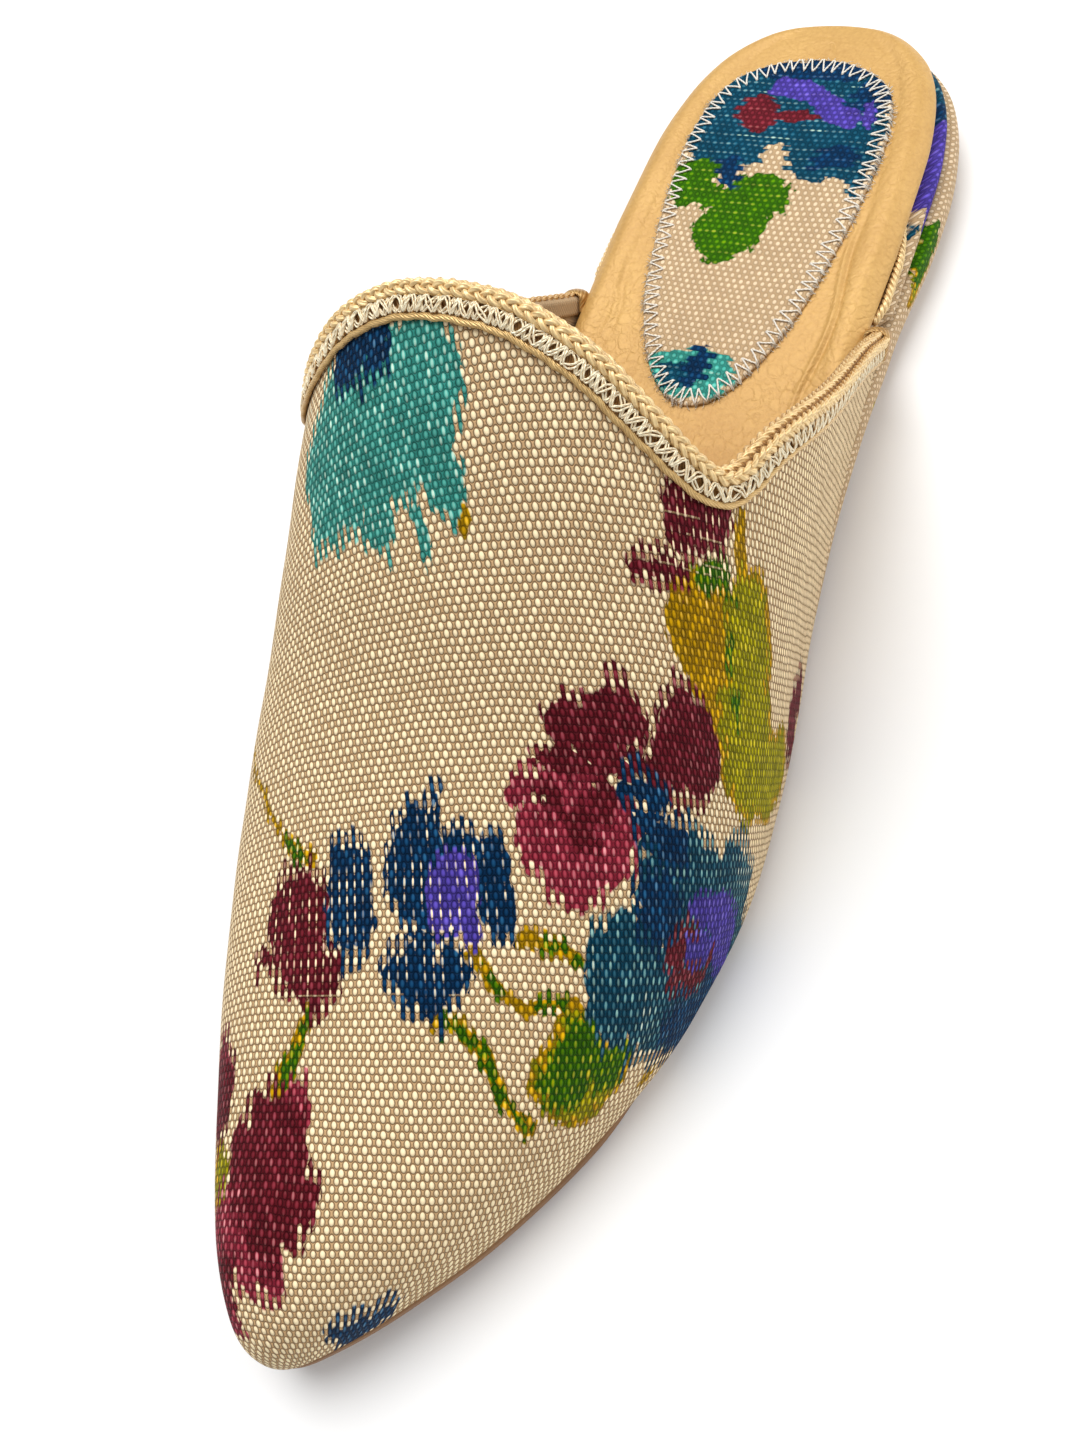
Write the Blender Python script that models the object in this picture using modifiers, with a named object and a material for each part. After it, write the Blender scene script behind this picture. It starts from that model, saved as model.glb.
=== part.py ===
"""Babouche: a backless slipper with a hollow cloth upper, a low covered heel and a padded insole.

The toe points to -Y, the heel to +Y and +Z is up. Sizes are in millimetres and turn into metres
when a mesh is made. A station is the distance forward from the back of the insole.
"""
import math

import bmesh
import bpy
import numpy as np

MM = 0.001

# Driving dimensions
LENGTH = 262.0
BALL_WIDTH = 84.0
INSTEP = 80.8
WALL = 2.0
GAP = 0.3
ROUNDNESS = 2.3

SOLE_THICKNESS = 2.6
ARCH_RISE = 1.4
ARCH_FROM = 84.0
ARCH_TO = 148.0
TOE_SPRING = 6.9
SPRING_FROM = 198.0
SPRING_POWER = 1.8

WEDGE_END = 138.0
BAND_MARGIN = 1.3
BAND_NOTCH_FROM = 61.5
BAND_NOTCH_TO = 64.0
BAND_END = 118.0
LAYER_FADE = 14.0
LINING_CLEARANCE = 0.45
INSOLE_INSIDE_FROM = 52.0
INSOLE_INSIDE_TO = 68.0

CORD_RADIUS = 0.8
CORD_INSET = 1.2
CORD_LIFT = 0.65

BRAID_WIDTH = 7.0
BRAID_THICKNESS = 0.9
BRAID_REACH = 0.975
BRAID_LOWEST_ANGLE = math.radians(1.5)
PATCH_THICKNESS = 1.0
SHARP_ANGLE = math.radians(50.0)

# The last: station over length, width over ball width, rise over instep, belly in millimetres
LAST = np.array([
    (0.000, 0.000, 1.120, 8.2),
    (0.004, 0.221, 1.120, 8.2),
    (0.017, 0.381, 1.120, 8.2),
    (0.042, 0.524, 1.120, 8.2),
    (0.076, 0.610, 1.120, 8.2),
    (0.122, 0.660, 1.120, 8.2),
    (0.172, 0.674, 1.120, 8.2),
    (0.229, 0.683, 1.120, 8.2),
    (0.305, 0.714, 1.098, 8.2),
    (0.382, 0.781, 1.058, 7.7),
    (0.466, 0.857, 1.000, 6.5),
    (0.573, 0.962, 0.798, 4.9),
    (0.649, 1.000, 0.613, 3.8),
    (0.725, 0.952, 0.494, 2.7),
    (0.813, 0.786, 0.395, 1.7),
    (0.885, 0.586, 0.309, 1.0),
    (0.943, 0.362, 0.243, 0.5),
    (0.981, 0.179, 0.152, 0.2),
    (1.000, 0.000, 0.000, 0.0),
])
LAST_STATION, LAST_WIDTH, LAST_RISE, LAST_BELLY = LAST.T

# The collar: how far round from the ridge (0) to the feather line (1), station of its edge
COLLAR = np.array([
    (0.00, 123.1),
    (0.08, 123.4),
    (0.16, 124.4),
    (0.25, 125.9),
    (0.35, 128.1),
    (0.46, 129.4),
    (0.50, 129.0),
    (0.54, 126.9),
    (0.62, 117.7),
    (0.77, 100.3),
    (0.91, 79.8),
    (0.96, 72.4),
    (1.00, 65.0),
])
COLLAR_ROUND, COLLAR_STATION = COLLAR.T

# How far the pieces stand out from the last: station, outsole, heel wedge, upper
MARGINS = np.array([
    (0.0, 1.4, 1.9, 1.5),
    (66.0, 1.0, 1.8, 1.5),
    (80.0, 0.2, 1.1, 1.0),
    (104.0, -1.0, -0.3, 0.0),
    (195.0, -1.0, -0.6, 0.0),
    (214.0, 0.9, -0.6, 0.0),
    (262.0, 0.9, -0.6, 0.0),
])
MARGIN_STATION, SOLE_MARGIN, WEDGE_MARGIN, UPPER_MARGIN = MARGINS.T

# Middle of the whole shoe's length, as a station
MIDDLE = 0.5 * (LENGTH + SOLE_MARGIN[-1] - WEDGE_MARGIN[0])

# Thicknesses of the layers under the foot: station, heel wedge, heel band, insole
LAYERS = np.array([
    (0.0, 7.5, 4.2, 4.5),
    (30.0, 7.4, 4.1, 4.5),
    (66.0, 7.0, 2.5, 3.9),
    (90.0, 4.8, 1.4, 3.5),
    (118.0, 2.0, 0.6, 3.2),
    (140.0, 0.6, 0.6, 3.0),
    (262.0, 0.6, 0.6, 2.6),
])
LAYER_STATION, WEDGE_LAYER, BAND_LAYER, INSOLE_LAYER = LAYERS.T

# The oval patch on the insole: station, half width
PATCH = np.array([
    (11.5, 0.0),
    (12.7, 7.5),
    (18.5, 16.0),
    (25.0, 18.6),
    (34.0, 19.5),
    (46.0, 18.9),
    (56.0, 17.6),
    (66.0, 15.8),
    (75.0, 12.8),
    (82.0, 9.0),
    (86.5, 4.6),
    (88.0, 0.0),
])
PATCH_STATION, PATCH_HALF = PATCH.T

# Edges of the layers from the bottom up: how far in from the outline, share of the thickness
SOLE_EDGE = ((0.5, 0.0), (0.0, 0.25), (0.0, 0.8), (0.4, 1.0))
WEDGE_EDGE = ((1.0, 0.0), (0.3, 0.2), (0.0, 0.5), (0.1, 0.8), (0.6, 1.0))
BAND_EDGE = ((0.6, 0.0), (0.0, 0.3), (0.0, 0.5), (0.7, 0.8), (2.2, 1.0))
INSOLE_EDGE = ((2.2, 0.0), (0.9, 0.12), (0.15, 0.35), (0.0, 0.55), (0.3, 0.78), (1.1, 0.94), (2.6, 1.0))
PATCH_EDGE = ((0.0, 0.0), (0.0, 0.6), (0.5, 1.0))

# How finely the surfaces are cut
OUTLINE_STEPS = 30
OUTLINE_SAMPLES = 1500
TURN_WEIGHT = 25.0
UPPER_ROWS = 30
UPPER_COLUMNS = 44
BRAID_STEPS = 64
BRAID_ROWS = 2


def monotone(x, knots, values):
    """Monotone cubic curve through (knots, values), held level past both ends."""
    step = np.diff(knots)
    slope = np.diff(values) / step
    left, right = slope[:-1], slope[1:]
    weight_left = 2.0 * step[1:] + step[:-1]
    weight_right = step[1:] + 2.0 * step[:-1]
    same_way = left * right > 0.0
    safe_left = np.where(same_way, left, 1.0)
    safe_right = np.where(same_way, right, 1.0)
    mean = (weight_left + weight_right) / (weight_left / safe_left + weight_right / safe_right)
    tangent = np.concatenate(([slope[0]], np.where(same_way, mean, 0.0), [slope[-1]]))
    x = np.clip(np.asarray(x, float), knots[0], knots[-1])
    cell = np.clip(np.searchsorted(knots, x, side="right") - 1, 0, len(step) - 1)
    width = step[cell]
    t = (x - knots[cell]) / width
    start = (1.0 + 2.0 * t) * (1.0 - t) ** 2 * values[cell] + t * (1.0 - t) ** 2 * width * tangent[cell]
    end = t * t * (3.0 - 2.0 * t) * values[cell + 1] + t * t * (t - 1.0) * width * tangent[cell + 1]
    return start + end


def rounded(x, knots, values):
    """Curve through the values by way of their squares, so that it closes round where it meets 0."""
    return np.sqrt(np.maximum(monotone(x, knots, values ** 2), 0.0))


def fade(station, end):
    """1 up to the end station, falling smoothly to 0 over the fade length."""
    t = np.clip((np.asarray(station, float) - end) / LAYER_FADE, 0.0, 1.0)
    return 1.0 - t * t * (3.0 - 2.0 * t)


def half_width(station):
    """Half the width of the last's outline."""
    return 0.5 * BALL_WIDTH * rounded(station / LENGTH, LAST_STATION, LAST_WIDTH)


def patch_half_width(station):
    """Half the width of the oval patch."""
    return rounded(station, PATCH_STATION, PATCH_HALF)


def sole_bottom(station):
    """Underside of the outsole: flat at the heel and ball, raised at the arch and the toe."""
    station = np.asarray(station, float)
    arch = np.clip((station - ARCH_FROM) / (ARCH_TO - ARCH_FROM), 0.0, 1.0)
    spring = np.clip((station - SPRING_FROM) / (LENGTH - SPRING_FROM), 0.0, None)
    return ARCH_RISE * np.sin(math.pi * arch) ** 2 + TOE_SPRING * spring ** SPRING_POWER


def sole_top(station):
    """Top of the outsole."""
    return sole_bottom(station) + SOLE_THICKNESS


def wedge_thickness(station):
    """Thickness of the heel wedge."""
    return monotone(station, LAYER_STATION, WEDGE_LAYER)


def band_thickness(station):
    """Thickness of the heel band."""
    return monotone(station, LAYER_STATION, BAND_LAYER)


def wedge_bottom(station):
    """Underside of the heel wedge."""
    return sole_top(station) + GAP


def wedge_top(station):
    """Top of the heel wedge."""
    return wedge_bottom(station) + wedge_thickness(station)


def band_bottom(station):
    """Underside of the heel band."""
    return wedge_top(station) + GAP


def band_top(station):
    """Top of the heel band."""
    return band_bottom(station) + band_thickness(station)


def upper_base(station):
    """Lower edge of the upper, on the wedge and further forward on the outsole."""
    return sole_top(station) + GAP + (wedge_thickness(station) + GAP) * fade(station, WEDGE_END)


def insole_bottom(station):
    """Underside of the insole, on the band, then the wedge, then the outsole."""
    return upper_base(station) + (band_thickness(station) + GAP) * fade(station, BAND_END)


def insole_top(station):
    """Top of the insole."""
    return insole_bottom(station) + monotone(station, LAYER_STATION, INSOLE_LAYER)


def patch_bottom(station):
    """Underside of the patch."""
    return insole_top(station) + GAP


def patch_top(station):
    """Top of the patch."""
    return patch_bottom(station) + PATCH_THICKNESS


def sole_margin(station):
    """How far the outsole stands out from the last."""
    return monotone(station, MARGIN_STATION, SOLE_MARGIN)


def wedge_margin(station):
    """How far the heel wedge stands out from the last."""
    return monotone(station, MARGIN_STATION, WEDGE_MARGIN)


def upper_margin(station):
    """How far the upper's lower edge stands out from the last."""
    return monotone(station, MARGIN_STATION, UPPER_MARGIN)


def inside_margin(station):
    """Where a piece inside the upper ends, clear of the wall."""
    return upper_margin(station) - WALL - LINING_CLEARANCE


def band_margin(station):
    """The heel band stands out round the heel and steps in where the upper begins."""
    inside = np.clip((station - BAND_NOTCH_FROM) / (BAND_NOTCH_TO - BAND_NOTCH_FROM), 0.0, 1.0)
    return BAND_MARGIN + inside * (inside_margin(station) - BAND_MARGIN)


def insole_margin(station):
    """The insole fills the last at the heel and stays clear of the wall inside the upper."""
    inside = np.clip((station - INSOLE_INSIDE_FROM) / (INSOLE_INSIDE_TO - INSOLE_INSIDE_FROM), 0.0, 1.0)
    return inside * inside_margin(station)


def patch_margin(station):
    """The patch keeps its own outline."""
    return np.zeros_like(station)


def right_side(plan, ends, margin, inset, front):
    """Right half of an outline moved out by its margin less the inset, from the back to the front.

    Returns points (x, station), closer together where the outline turns.
    """
    share = 0.5 - 0.5 * np.cos(np.linspace(0.0, math.pi, OUTLINE_SAMPLES))
    station = ends[0] + (ends[1] - ends[0]) * share
    line = np.stack([plan(station), station], axis=1)
    tangent = np.gradient(line, axis=0)
    tangent /= np.linalg.norm(tangent, axis=1, keepdims=True)
    outward = np.stack([tangent[:, 1], -tangent[:, 0]], axis=1)
    moved = line + outward * (margin(station) - inset)[:, None]
    moved[0, 0] = 0.0
    past = (moved[:, 0] < 0.0) | (moved[:, 1] > front - inset)
    past[:OUTLINE_SAMPLES // 4] = False
    if past.any():
        first = int(np.argmax(past))
        before, after = moved[first - 1], moved[first]
        if after[0] < 0.0:
            t = before[0] / (before[0] - after[0])
        else:
            t = (front - inset - before[1]) / (after[1] - before[1])
        moved = np.vstack([moved[:first], before + t * (after - before)])
    else:
        moved[-1, 0] = 0.0
    edge = np.diff(moved, axis=0)
    heading = np.unwrap(np.arctan2(edge[:, 0], edge[:, 1]))
    turn = np.abs(np.diff(heading, prepend=heading[0]))
    travel = np.concatenate(([0.0], np.cumsum(np.linalg.norm(edge, axis=1) + TURN_WEIGHT * turn)))
    wanted = np.linspace(0.0, travel[-1], OUTLINE_STEPS + 1)
    return np.stack([np.interp(wanted, travel, moved[:, axis]) for axis in (0, 1)], axis=1)


def to_space(x, station, z):
    """Points in the shoe's frame from sideways place, station and height."""
    return np.stack([x, MIDDLE - station, z], axis=-1)


def layer_ring(side, height):
    """Closed ring of points round an outline: up the right side and back down the left."""
    pointed = abs(side[-1, 0]) < 1e-6
    left = side[-2:0:-1] if pointed else side[:0:-1]
    ring = np.vstack([side, left * (-1.0, 1.0)])
    return to_space(ring[:, 0], ring[:, 1], height(ring[:, 1]))


def cap_faces(count, base, upward):
    """Faces that span a ring from its right side to its left side."""
    faces = [(base, base + 1, base + count - 1)]
    low = 1
    while low + 1 < count - low - 1:
        faces.append((base + low, base + low + 1, base + count - low - 1, base + count - low))
        low += 1
    if low + 1 == count - low - 1:
        faces.append((base + low, base + low + 1, base + count - low))
    return [face if upward else face[::-1] for face in faces]


def new_object(name, points, faces, collection):
    """Mesh object in metres, faces turned outwards and shaded smooth."""
    mesh = bpy.data.meshes.new(name)
    mesh.from_pydata((np.asarray(points) * MM).tolist(), [], faces)
    work = bmesh.new()
    work.from_mesh(mesh)
    bmesh.ops.recalc_face_normals(work, faces=work.faces)
    work.to_mesh(mesh)
    work.free()
    mesh.shade_smooth()
    mesh.set_sharp_from_angle(angle=SHARP_ANGLE)
    shape = bpy.data.objects.new(name, mesh)
    collection.objects.link(shape)
    return shape


def layer(name, plan, ends, margin, bottom, top, edge, collection, front=math.inf):
    """Layer under the foot: rings up its edge, closed across underneath and on top."""
    rings = []
    for inset, share in edge:
        side = right_side(plan, ends, margin, inset, front)
        rings.append(layer_ring(side, lambda s, share=share: bottom(s) + share * (top(s) - bottom(s))))
    count = len(rings[0])
    faces = cap_faces(count, 0, False)
    for ring in range(len(rings) - 1):
        for i in range(count):
            after = (i + 1) % count
            low, high = ring * count, (ring + 1) * count
            faces.append((low + i, low + after, high + after, high + i))
    faces += cap_faces(count, (len(rings) - 1) * count, True)
    return new_object(name, np.vstack(rings), faces, collection)


def collar_station(around):
    """Station of the collar's edge, by how far round from the ridge."""
    return monotone(np.abs(around), COLLAR_ROUND, COLLAR_STATION)


def upper_point(station, angle):
    """Point on the outside of the upper.

    The section is a superellipse over the last's width, rising from the upper's base, with its
    sides let out by the belly. The angle runs from 0 at the right feather line to pi at the left.
    """
    station, angle = np.broadcast_arrays(np.asarray(station, float), np.asarray(angle, float))
    cosine, sine = np.cos(angle), np.abs(np.sin(angle))
    power = 2.0 / ROUNDNESS
    share = station / LENGTH
    belly = monotone(share, LAST_STATION, LAST_BELLY)
    rise = INSTEP * rounded(share, LAST_STATION, LAST_RISE)
    half = half_width(station) + upper_margin(station)
    x = half * np.sign(cosine) * np.abs(cosine) ** power + belly * np.sin(2.0 * angle)
    return to_space(x, station, upper_base(station) + rise * sine ** power)


def upper_slopes(station, angle):
    """The upper's derivatives by station and by angle, and its outward normal."""
    reach, turn = 0.05, 0.002
    low, high = np.clip(angle - turn, 0.0, math.pi), np.clip(angle + turn, 0.0, math.pi)
    along = (upper_point(station + reach, angle) - upper_point(station - reach, angle)) / (2.0 * reach)
    across = (upper_point(station, high) - upper_point(station, low)) / (high - low)[..., None]
    normal = np.cross(across, along)
    return along, across, normal / np.linalg.norm(normal, axis=-1, keepdims=True)


def build_upper(collection):
    """Hollow upper: an open surface from the collar to the toe, given its wall."""
    angle = np.linspace(0.0, math.pi, UPPER_COLUMNS + 1)
    start = collar_station((0.5 * math.pi - angle) / (0.5 * math.pi))
    share = np.sin(np.linspace(0.0, 0.5 * math.pi, UPPER_ROWS + 1))[:-1, None]
    station = start + (LENGTH - start) * share
    rows = upper_point(station, np.broadcast_to(angle, station.shape))
    toe = to_space(np.array(0.0), np.array(LENGTH), upper_base(LENGTH))
    points = np.vstack([rows.reshape(-1, 3), toe])
    columns = UPPER_COLUMNS + 1
    faces = []
    for row in range(UPPER_ROWS - 1):
        for column in range(UPPER_COLUMNS):
            corner = row * columns + column
            faces.append((corner, corner + columns, corner + columns + 1, corner + 1))
    last = (UPPER_ROWS - 1) * columns
    for column in range(UPPER_COLUMNS):
        faces.append((last + column, len(points) - 1, last + column + 1))
    upper = new_object("upper", points, faces, collection)
    face_outwards(upper)
    wall = upper.modifiers.new("wall", "SOLIDIFY")
    wall.thickness = WALL * MM
    wall.offset = -1.0
    return upper


def face_outwards(shape):
    """Turn an open surface over if its highest face looks down."""
    mesh = shape.data
    highest = max(mesh.polygons, key=lambda face: face.center.z)
    if highest.normal.z < 0.0:
        mesh.flip_normals()


def build_braid(collection):
    """Flat braid laid on the upper's own surface along the collar, just off the cloth."""
    around = np.linspace(-BRAID_REACH, BRAID_REACH, BRAID_STEPS + 1)
    angle = 0.5 * math.pi * (1.0 - around)
    station = collar_station(around)
    along, across, normal = upper_slopes(station, angle)
    edge = np.gradient(upper_point(station, angle), axis=0)
    edge /= np.linalg.norm(edge, axis=1, keepdims=True)
    inward = np.cross(edge, normal)
    inward *= np.sign(np.sum(inward * along, axis=1, keepdims=True))
    metric = np.stack([np.stack([np.sum(along * along, 1), np.sum(along * across, 1)], 1),
                       np.stack([np.sum(along * across, 1), np.sum(across * across, 1)], 1)], 1)
    wanted = np.stack([np.sum(inward * along, 1), np.sum(inward * across, 1)], 1)
    step = np.linalg.solve(metric, wanted[..., None])[..., 0]
    rows = []
    for share in np.linspace(0.0, 1.0, BRAID_ROWS + 1):
        row_station = station + share * BRAID_WIDTH * step[:, 0]
        row_angle = np.clip(angle + share * BRAID_WIDTH * step[:, 1],
                            BRAID_LOWEST_ANGLE, math.pi - BRAID_LOWEST_ANGLE)
        lift = upper_slopes(row_station, row_angle)[2]
        rows.append(upper_point(row_station, row_angle) + GAP * lift)
    columns = BRAID_STEPS + 1
    faces = []
    for row in range(BRAID_ROWS):
        for column in range(BRAID_STEPS):
            corner = row * columns + column
            faces.append((corner, corner + columns, corner + columns + 1, corner + 1))
    braid = new_object("collar_braid", np.vstack(rows), faces, collection)
    face_outwards(braid)
    thickness = braid.modifiers.new("thickness", "SOLIDIFY")
    thickness.thickness = BRAID_THICKNESS * MM
    thickness.offset = 1.0
    return braid


def build_cord(collection):
    """Cord in the groove between heel band and insole, from collar end to collar end."""
    side = right_side(half_width, (0.0, LENGTH), band_margin, CORD_INSET, BAND_NOTCH_FROM + CORD_INSET)
    ring = np.vstack([side[::-1], side[1:] * (-1.0, 1.0)])
    path = to_space(ring[:, 0], ring[:, 1], band_top(ring[:, 1]) + CORD_LIFT)
    curve = bpy.data.curves.new("heel_cord", "CURVE")
    curve.dimensions = "3D"
    spline = curve.splines.new("POLY")
    spline.points.add(len(path) - 1)
    for point, place in zip(spline.points, path * MM):
        point.co = (*place, 1.0)
    curve.bevel_depth = CORD_RADIUS * MM
    curve.bevel_resolution = 1
    curve.use_fill_caps = True
    cord = bpy.data.objects.new("heel_cord", curve)
    collection.objects.link(cord)
    return cord


def finish(shape, colour, roughness, metallic=0.0):
    """Give a piece its own material."""
    material = bpy.data.materials.new(f"{shape.name}_finish")
    material.use_nodes = True
    surface = material.node_tree.nodes["Principled BSDF"]
    surface.inputs["Base Color"].default_value = (*colour, 1.0)
    surface.inputs["Roughness"].default_value = roughness
    surface.inputs["Metallic"].default_value = metallic
    shape.data.materials.append(material)


def main():
    """Clear the scene and build the slipper's pieces."""
    for old in list(bpy.data.objects):
        bpy.data.objects.remove(old, do_unlink=True)
    pieces = bpy.data.collections.new("babouche")
    bpy.context.scene.collection.children.link(pieces)
    whole = (0.0, LENGTH)
    outsole = layer("outsole", half_width, whole, sole_margin, sole_bottom, sole_top, SOLE_EDGE, pieces)
    wedge = layer("heel_wedge", half_width, whole, wedge_margin, wedge_bottom, wedge_top, WEDGE_EDGE,
                  pieces, front=WEDGE_END)
    band = layer("heel_band", half_width, whole, band_margin, band_bottom, band_top, BAND_EDGE,
                 pieces, front=BAND_END)
    insole = layer("insole", half_width, whole, insole_margin, insole_bottom, insole_top, INSOLE_EDGE, pieces)
    patch = layer("heel_patch", patch_half_width, (PATCH_STATION[0], PATCH_STATION[-1]), patch_margin,
                  patch_bottom, patch_top, PATCH_EDGE, pieces)
    upper = build_upper(pieces)
    braid = build_braid(pieces)
    cord = build_cord(pieces)
    finish(outsole, (0.28, 0.16, 0.08), 0.6)
    finish(wedge, (0.62, 0.50, 0.36), 0.85)
    finish(band, (0.30, 0.28, 0.45), 0.85)
    finish(insole, (0.72, 0.50, 0.20), 0.4, 0.3)
    finish(patch, (0.16, 0.30, 0.34), 0.85)
    finish(upper, (0.62, 0.50, 0.36), 0.85)
    finish(braid, (0.60, 0.42, 0.18), 0.4, 0.5)
    finish(cord, (0.60, 0.42, 0.18), 0.4, 0.5)


main()
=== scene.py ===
"""Looks of a babouche: a warp-printed cloth vamp, a gold braid, a leather footbed and a covered heel.

Sizes are millimetres in the shoe's own frame (toe at -Y, wearer's left at +X, floor at z = 0) and
turn into metres when a mesh is made. A station is the distance forward from the back of the insole.
"""
import logging
import math
from dataclasses import dataclass, field
from enum import Enum
from typing import Callable, Dict, Mapping, Optional, Sequence, Tuple, Union

import bmesh
import bpy
import numpy as np
from mathutils import Matrix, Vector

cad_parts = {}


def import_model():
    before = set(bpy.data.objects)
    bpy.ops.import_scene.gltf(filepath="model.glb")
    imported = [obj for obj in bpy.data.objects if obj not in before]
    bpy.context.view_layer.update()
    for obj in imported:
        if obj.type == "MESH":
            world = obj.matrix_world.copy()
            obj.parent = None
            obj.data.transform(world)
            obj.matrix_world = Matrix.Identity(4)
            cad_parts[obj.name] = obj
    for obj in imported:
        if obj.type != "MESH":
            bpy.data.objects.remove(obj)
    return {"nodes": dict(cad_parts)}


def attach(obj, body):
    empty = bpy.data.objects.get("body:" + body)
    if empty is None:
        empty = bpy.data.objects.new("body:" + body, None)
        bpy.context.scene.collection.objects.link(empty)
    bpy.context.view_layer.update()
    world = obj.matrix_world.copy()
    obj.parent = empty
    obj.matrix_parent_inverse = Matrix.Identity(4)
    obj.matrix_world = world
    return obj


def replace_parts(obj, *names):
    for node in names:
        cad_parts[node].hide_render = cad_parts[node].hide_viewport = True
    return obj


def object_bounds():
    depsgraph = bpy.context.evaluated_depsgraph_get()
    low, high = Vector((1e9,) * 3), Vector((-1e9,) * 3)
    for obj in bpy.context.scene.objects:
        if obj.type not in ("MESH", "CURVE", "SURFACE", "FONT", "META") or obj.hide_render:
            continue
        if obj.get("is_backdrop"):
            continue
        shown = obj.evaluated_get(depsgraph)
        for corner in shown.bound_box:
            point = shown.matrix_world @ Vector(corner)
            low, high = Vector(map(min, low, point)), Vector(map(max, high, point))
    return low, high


LOG = logging.getLogger("babouche")
Array = np.ndarray
Number = Union[float, Array]
Colour = Tuple[float, float, float, float]
OvalRow = Tuple[float, ...]
StemRow = Tuple[float, Tuple[Tuple[float, float], ...]]
EdgeTable = Tuple[Tuple[float, float], ...]
MM = 0.001
# Points nearer to each other than this, in metres, become one
WELD = 2e-7
FULL_TURN = 2.0 * math.pi
UP = np.array([0.0, 0.0, 1.0])
BODY = "root"

# The last: station over length, width over ball width, rise over instep, belly in millimetres
LAST_TABLE = np.array([
    (0.000, 0.000, 1.120, 8.2), (0.004, 0.221, 1.120, 8.2), (0.017, 0.381, 1.120, 8.2),
    (0.042, 0.524, 1.120, 8.2), (0.076, 0.610, 1.120, 8.2), (0.122, 0.660, 1.120, 8.2),
    (0.172, 0.674, 1.120, 8.2), (0.229, 0.683, 1.120, 8.2), (0.305, 0.714, 1.098, 8.2),
    (0.382, 0.781, 1.058, 7.7), (0.466, 0.857, 1.000, 6.5), (0.573, 0.962, 0.798, 4.9),
    (0.649, 1.000, 0.613, 3.8), (0.725, 0.952, 0.494, 2.7), (0.813, 0.786, 0.395, 1.7),
    (0.885, 0.586, 0.309, 1.0), (0.943, 0.362, 0.243, 0.5), (0.981, 0.179, 0.152, 0.2),
    (1.000, 0.000, 0.000, 0.0),
])
# The collar: how far round from the ridge (0) to the feather line (1), station of its edge
COLLAR_TABLE = np.array([
    (0.00, 123.1), (0.08, 123.4), (0.16, 124.4), (0.25, 125.9), (0.35, 128.1), (0.46, 129.4),
    (0.50, 129.0), (0.54, 126.9), (0.62, 117.7), (0.77, 100.3), (0.91, 79.8), (0.96, 72.4), (1.00, 65.0),
])
# How far the pieces stand out from the last: station, outsole, heel wedge, upper
MARGIN_TABLE = np.array([
    (0.0, 1.4, 1.9, 1.5), (66.0, 1.0, 1.8, 1.5), (80.0, 0.2, 1.1, 1.0), (104.0, -1.0, -0.3, 0.0),
    (195.0, -1.0, -0.6, 0.0), (214.0, 0.9, -0.6, 0.0), (262.0, 0.9, -0.6, 0.0),
])
# Thicknesses of the layers under the foot: station, heel wedge, heel band, insole
LAYER_TABLE = np.array([
    (0.0, 7.5, 4.2, 4.5), (30.0, 7.4, 4.1, 4.5), (66.0, 7.0, 2.5, 3.9), (90.0, 4.8, 1.4, 3.5),
    (118.0, 2.0, 0.6, 3.2), (140.0, 0.6, 0.6, 3.0), (262.0, 0.6, 0.6, 2.6),
])
# The oval patch on the insole: station, half width
PATCH_TABLE = np.array([
    (11.5, 0.0), (12.7, 7.5), (18.5, 16.0), (25.0, 18.6), (34.0, 19.5), (46.0, 18.9),
    (56.0, 17.6), (66.0, 15.8), (75.0, 12.8), (82.0, 9.0), (86.5, 4.6), (88.0, 0.0),
])


def monotone(x: Number, knots: Array, values: Array) -> Array:
    """Monotone cubic curve through the knots, held level past both ends.

    Args:
        x: Where the curve is wanted.
        knots: Rising places of the known values.
        values: The known values.

    Returns:
        The curve's values, in the shape of x.
    """
    step = np.diff(knots)
    slope = np.diff(values) / step
    left, right = slope[:-1], slope[1:]
    weight_left = 2.0 * step[1:] + step[:-1]
    weight_right = step[1:] + 2.0 * step[:-1]
    same_way = left * right > 0.0
    safe_left = np.where(same_way, left, 1.0)
    safe_right = np.where(same_way, right, 1.0)
    mean = (weight_left + weight_right) / (weight_left / safe_left + weight_right / safe_right)
    tangent = np.concatenate(([slope[0]], np.where(same_way, mean, 0.0), [slope[-1]]))
    x = np.clip(np.asarray(x, float), knots[0], knots[-1])
    cell = np.clip(np.searchsorted(knots, x, side="right") - 1, 0, len(step) - 1)
    width = step[cell]
    t = (x - knots[cell]) / width
    start = (1.0 + 2.0 * t) * (1.0 - t) ** 2 * values[cell] + t * (1.0 - t) ** 2 * width * tangent[cell]
    end = t * t * (3.0 - 2.0 * t) * values[cell + 1] + t * t * (t - 1.0) * width * tangent[cell + 1]
    return start + end


def rounded(x: Number, knots: Array, values: Array) -> Array:
    """Curve through the values by way of their squares, so that it closes round where it meets 0."""
    return np.sqrt(np.maximum(monotone(x, knots, values ** 2), 0.0))


def curve(x: Number, table: Array, column: int) -> Array:
    """One column of a table as a curve over its first column."""
    return monotone(x, table[:, 0], table[:, column])


def ease(t: Number) -> Array:
    """Smooth step: 0 below 0, 1 above 1, and 3t^2 - 2t^3 between."""
    t = np.clip(np.asarray(t, float), 0.0, 1.0)
    return t * t * (3.0 - 2.0 * t)


def unit(vectors: Array) -> Array:
    """Vectors of length 1 along the last axis."""
    return vectors / np.maximum(np.linalg.norm(vectors, axis=-1, keepdims=True), 1e-9)


def travel(path: Array) -> Array:
    """Distance gone along a path of points, from 0 at its first point."""
    return np.concatenate(([0.0], np.cumsum(np.linalg.norm(np.diff(path, axis=0), axis=-1))))


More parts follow.
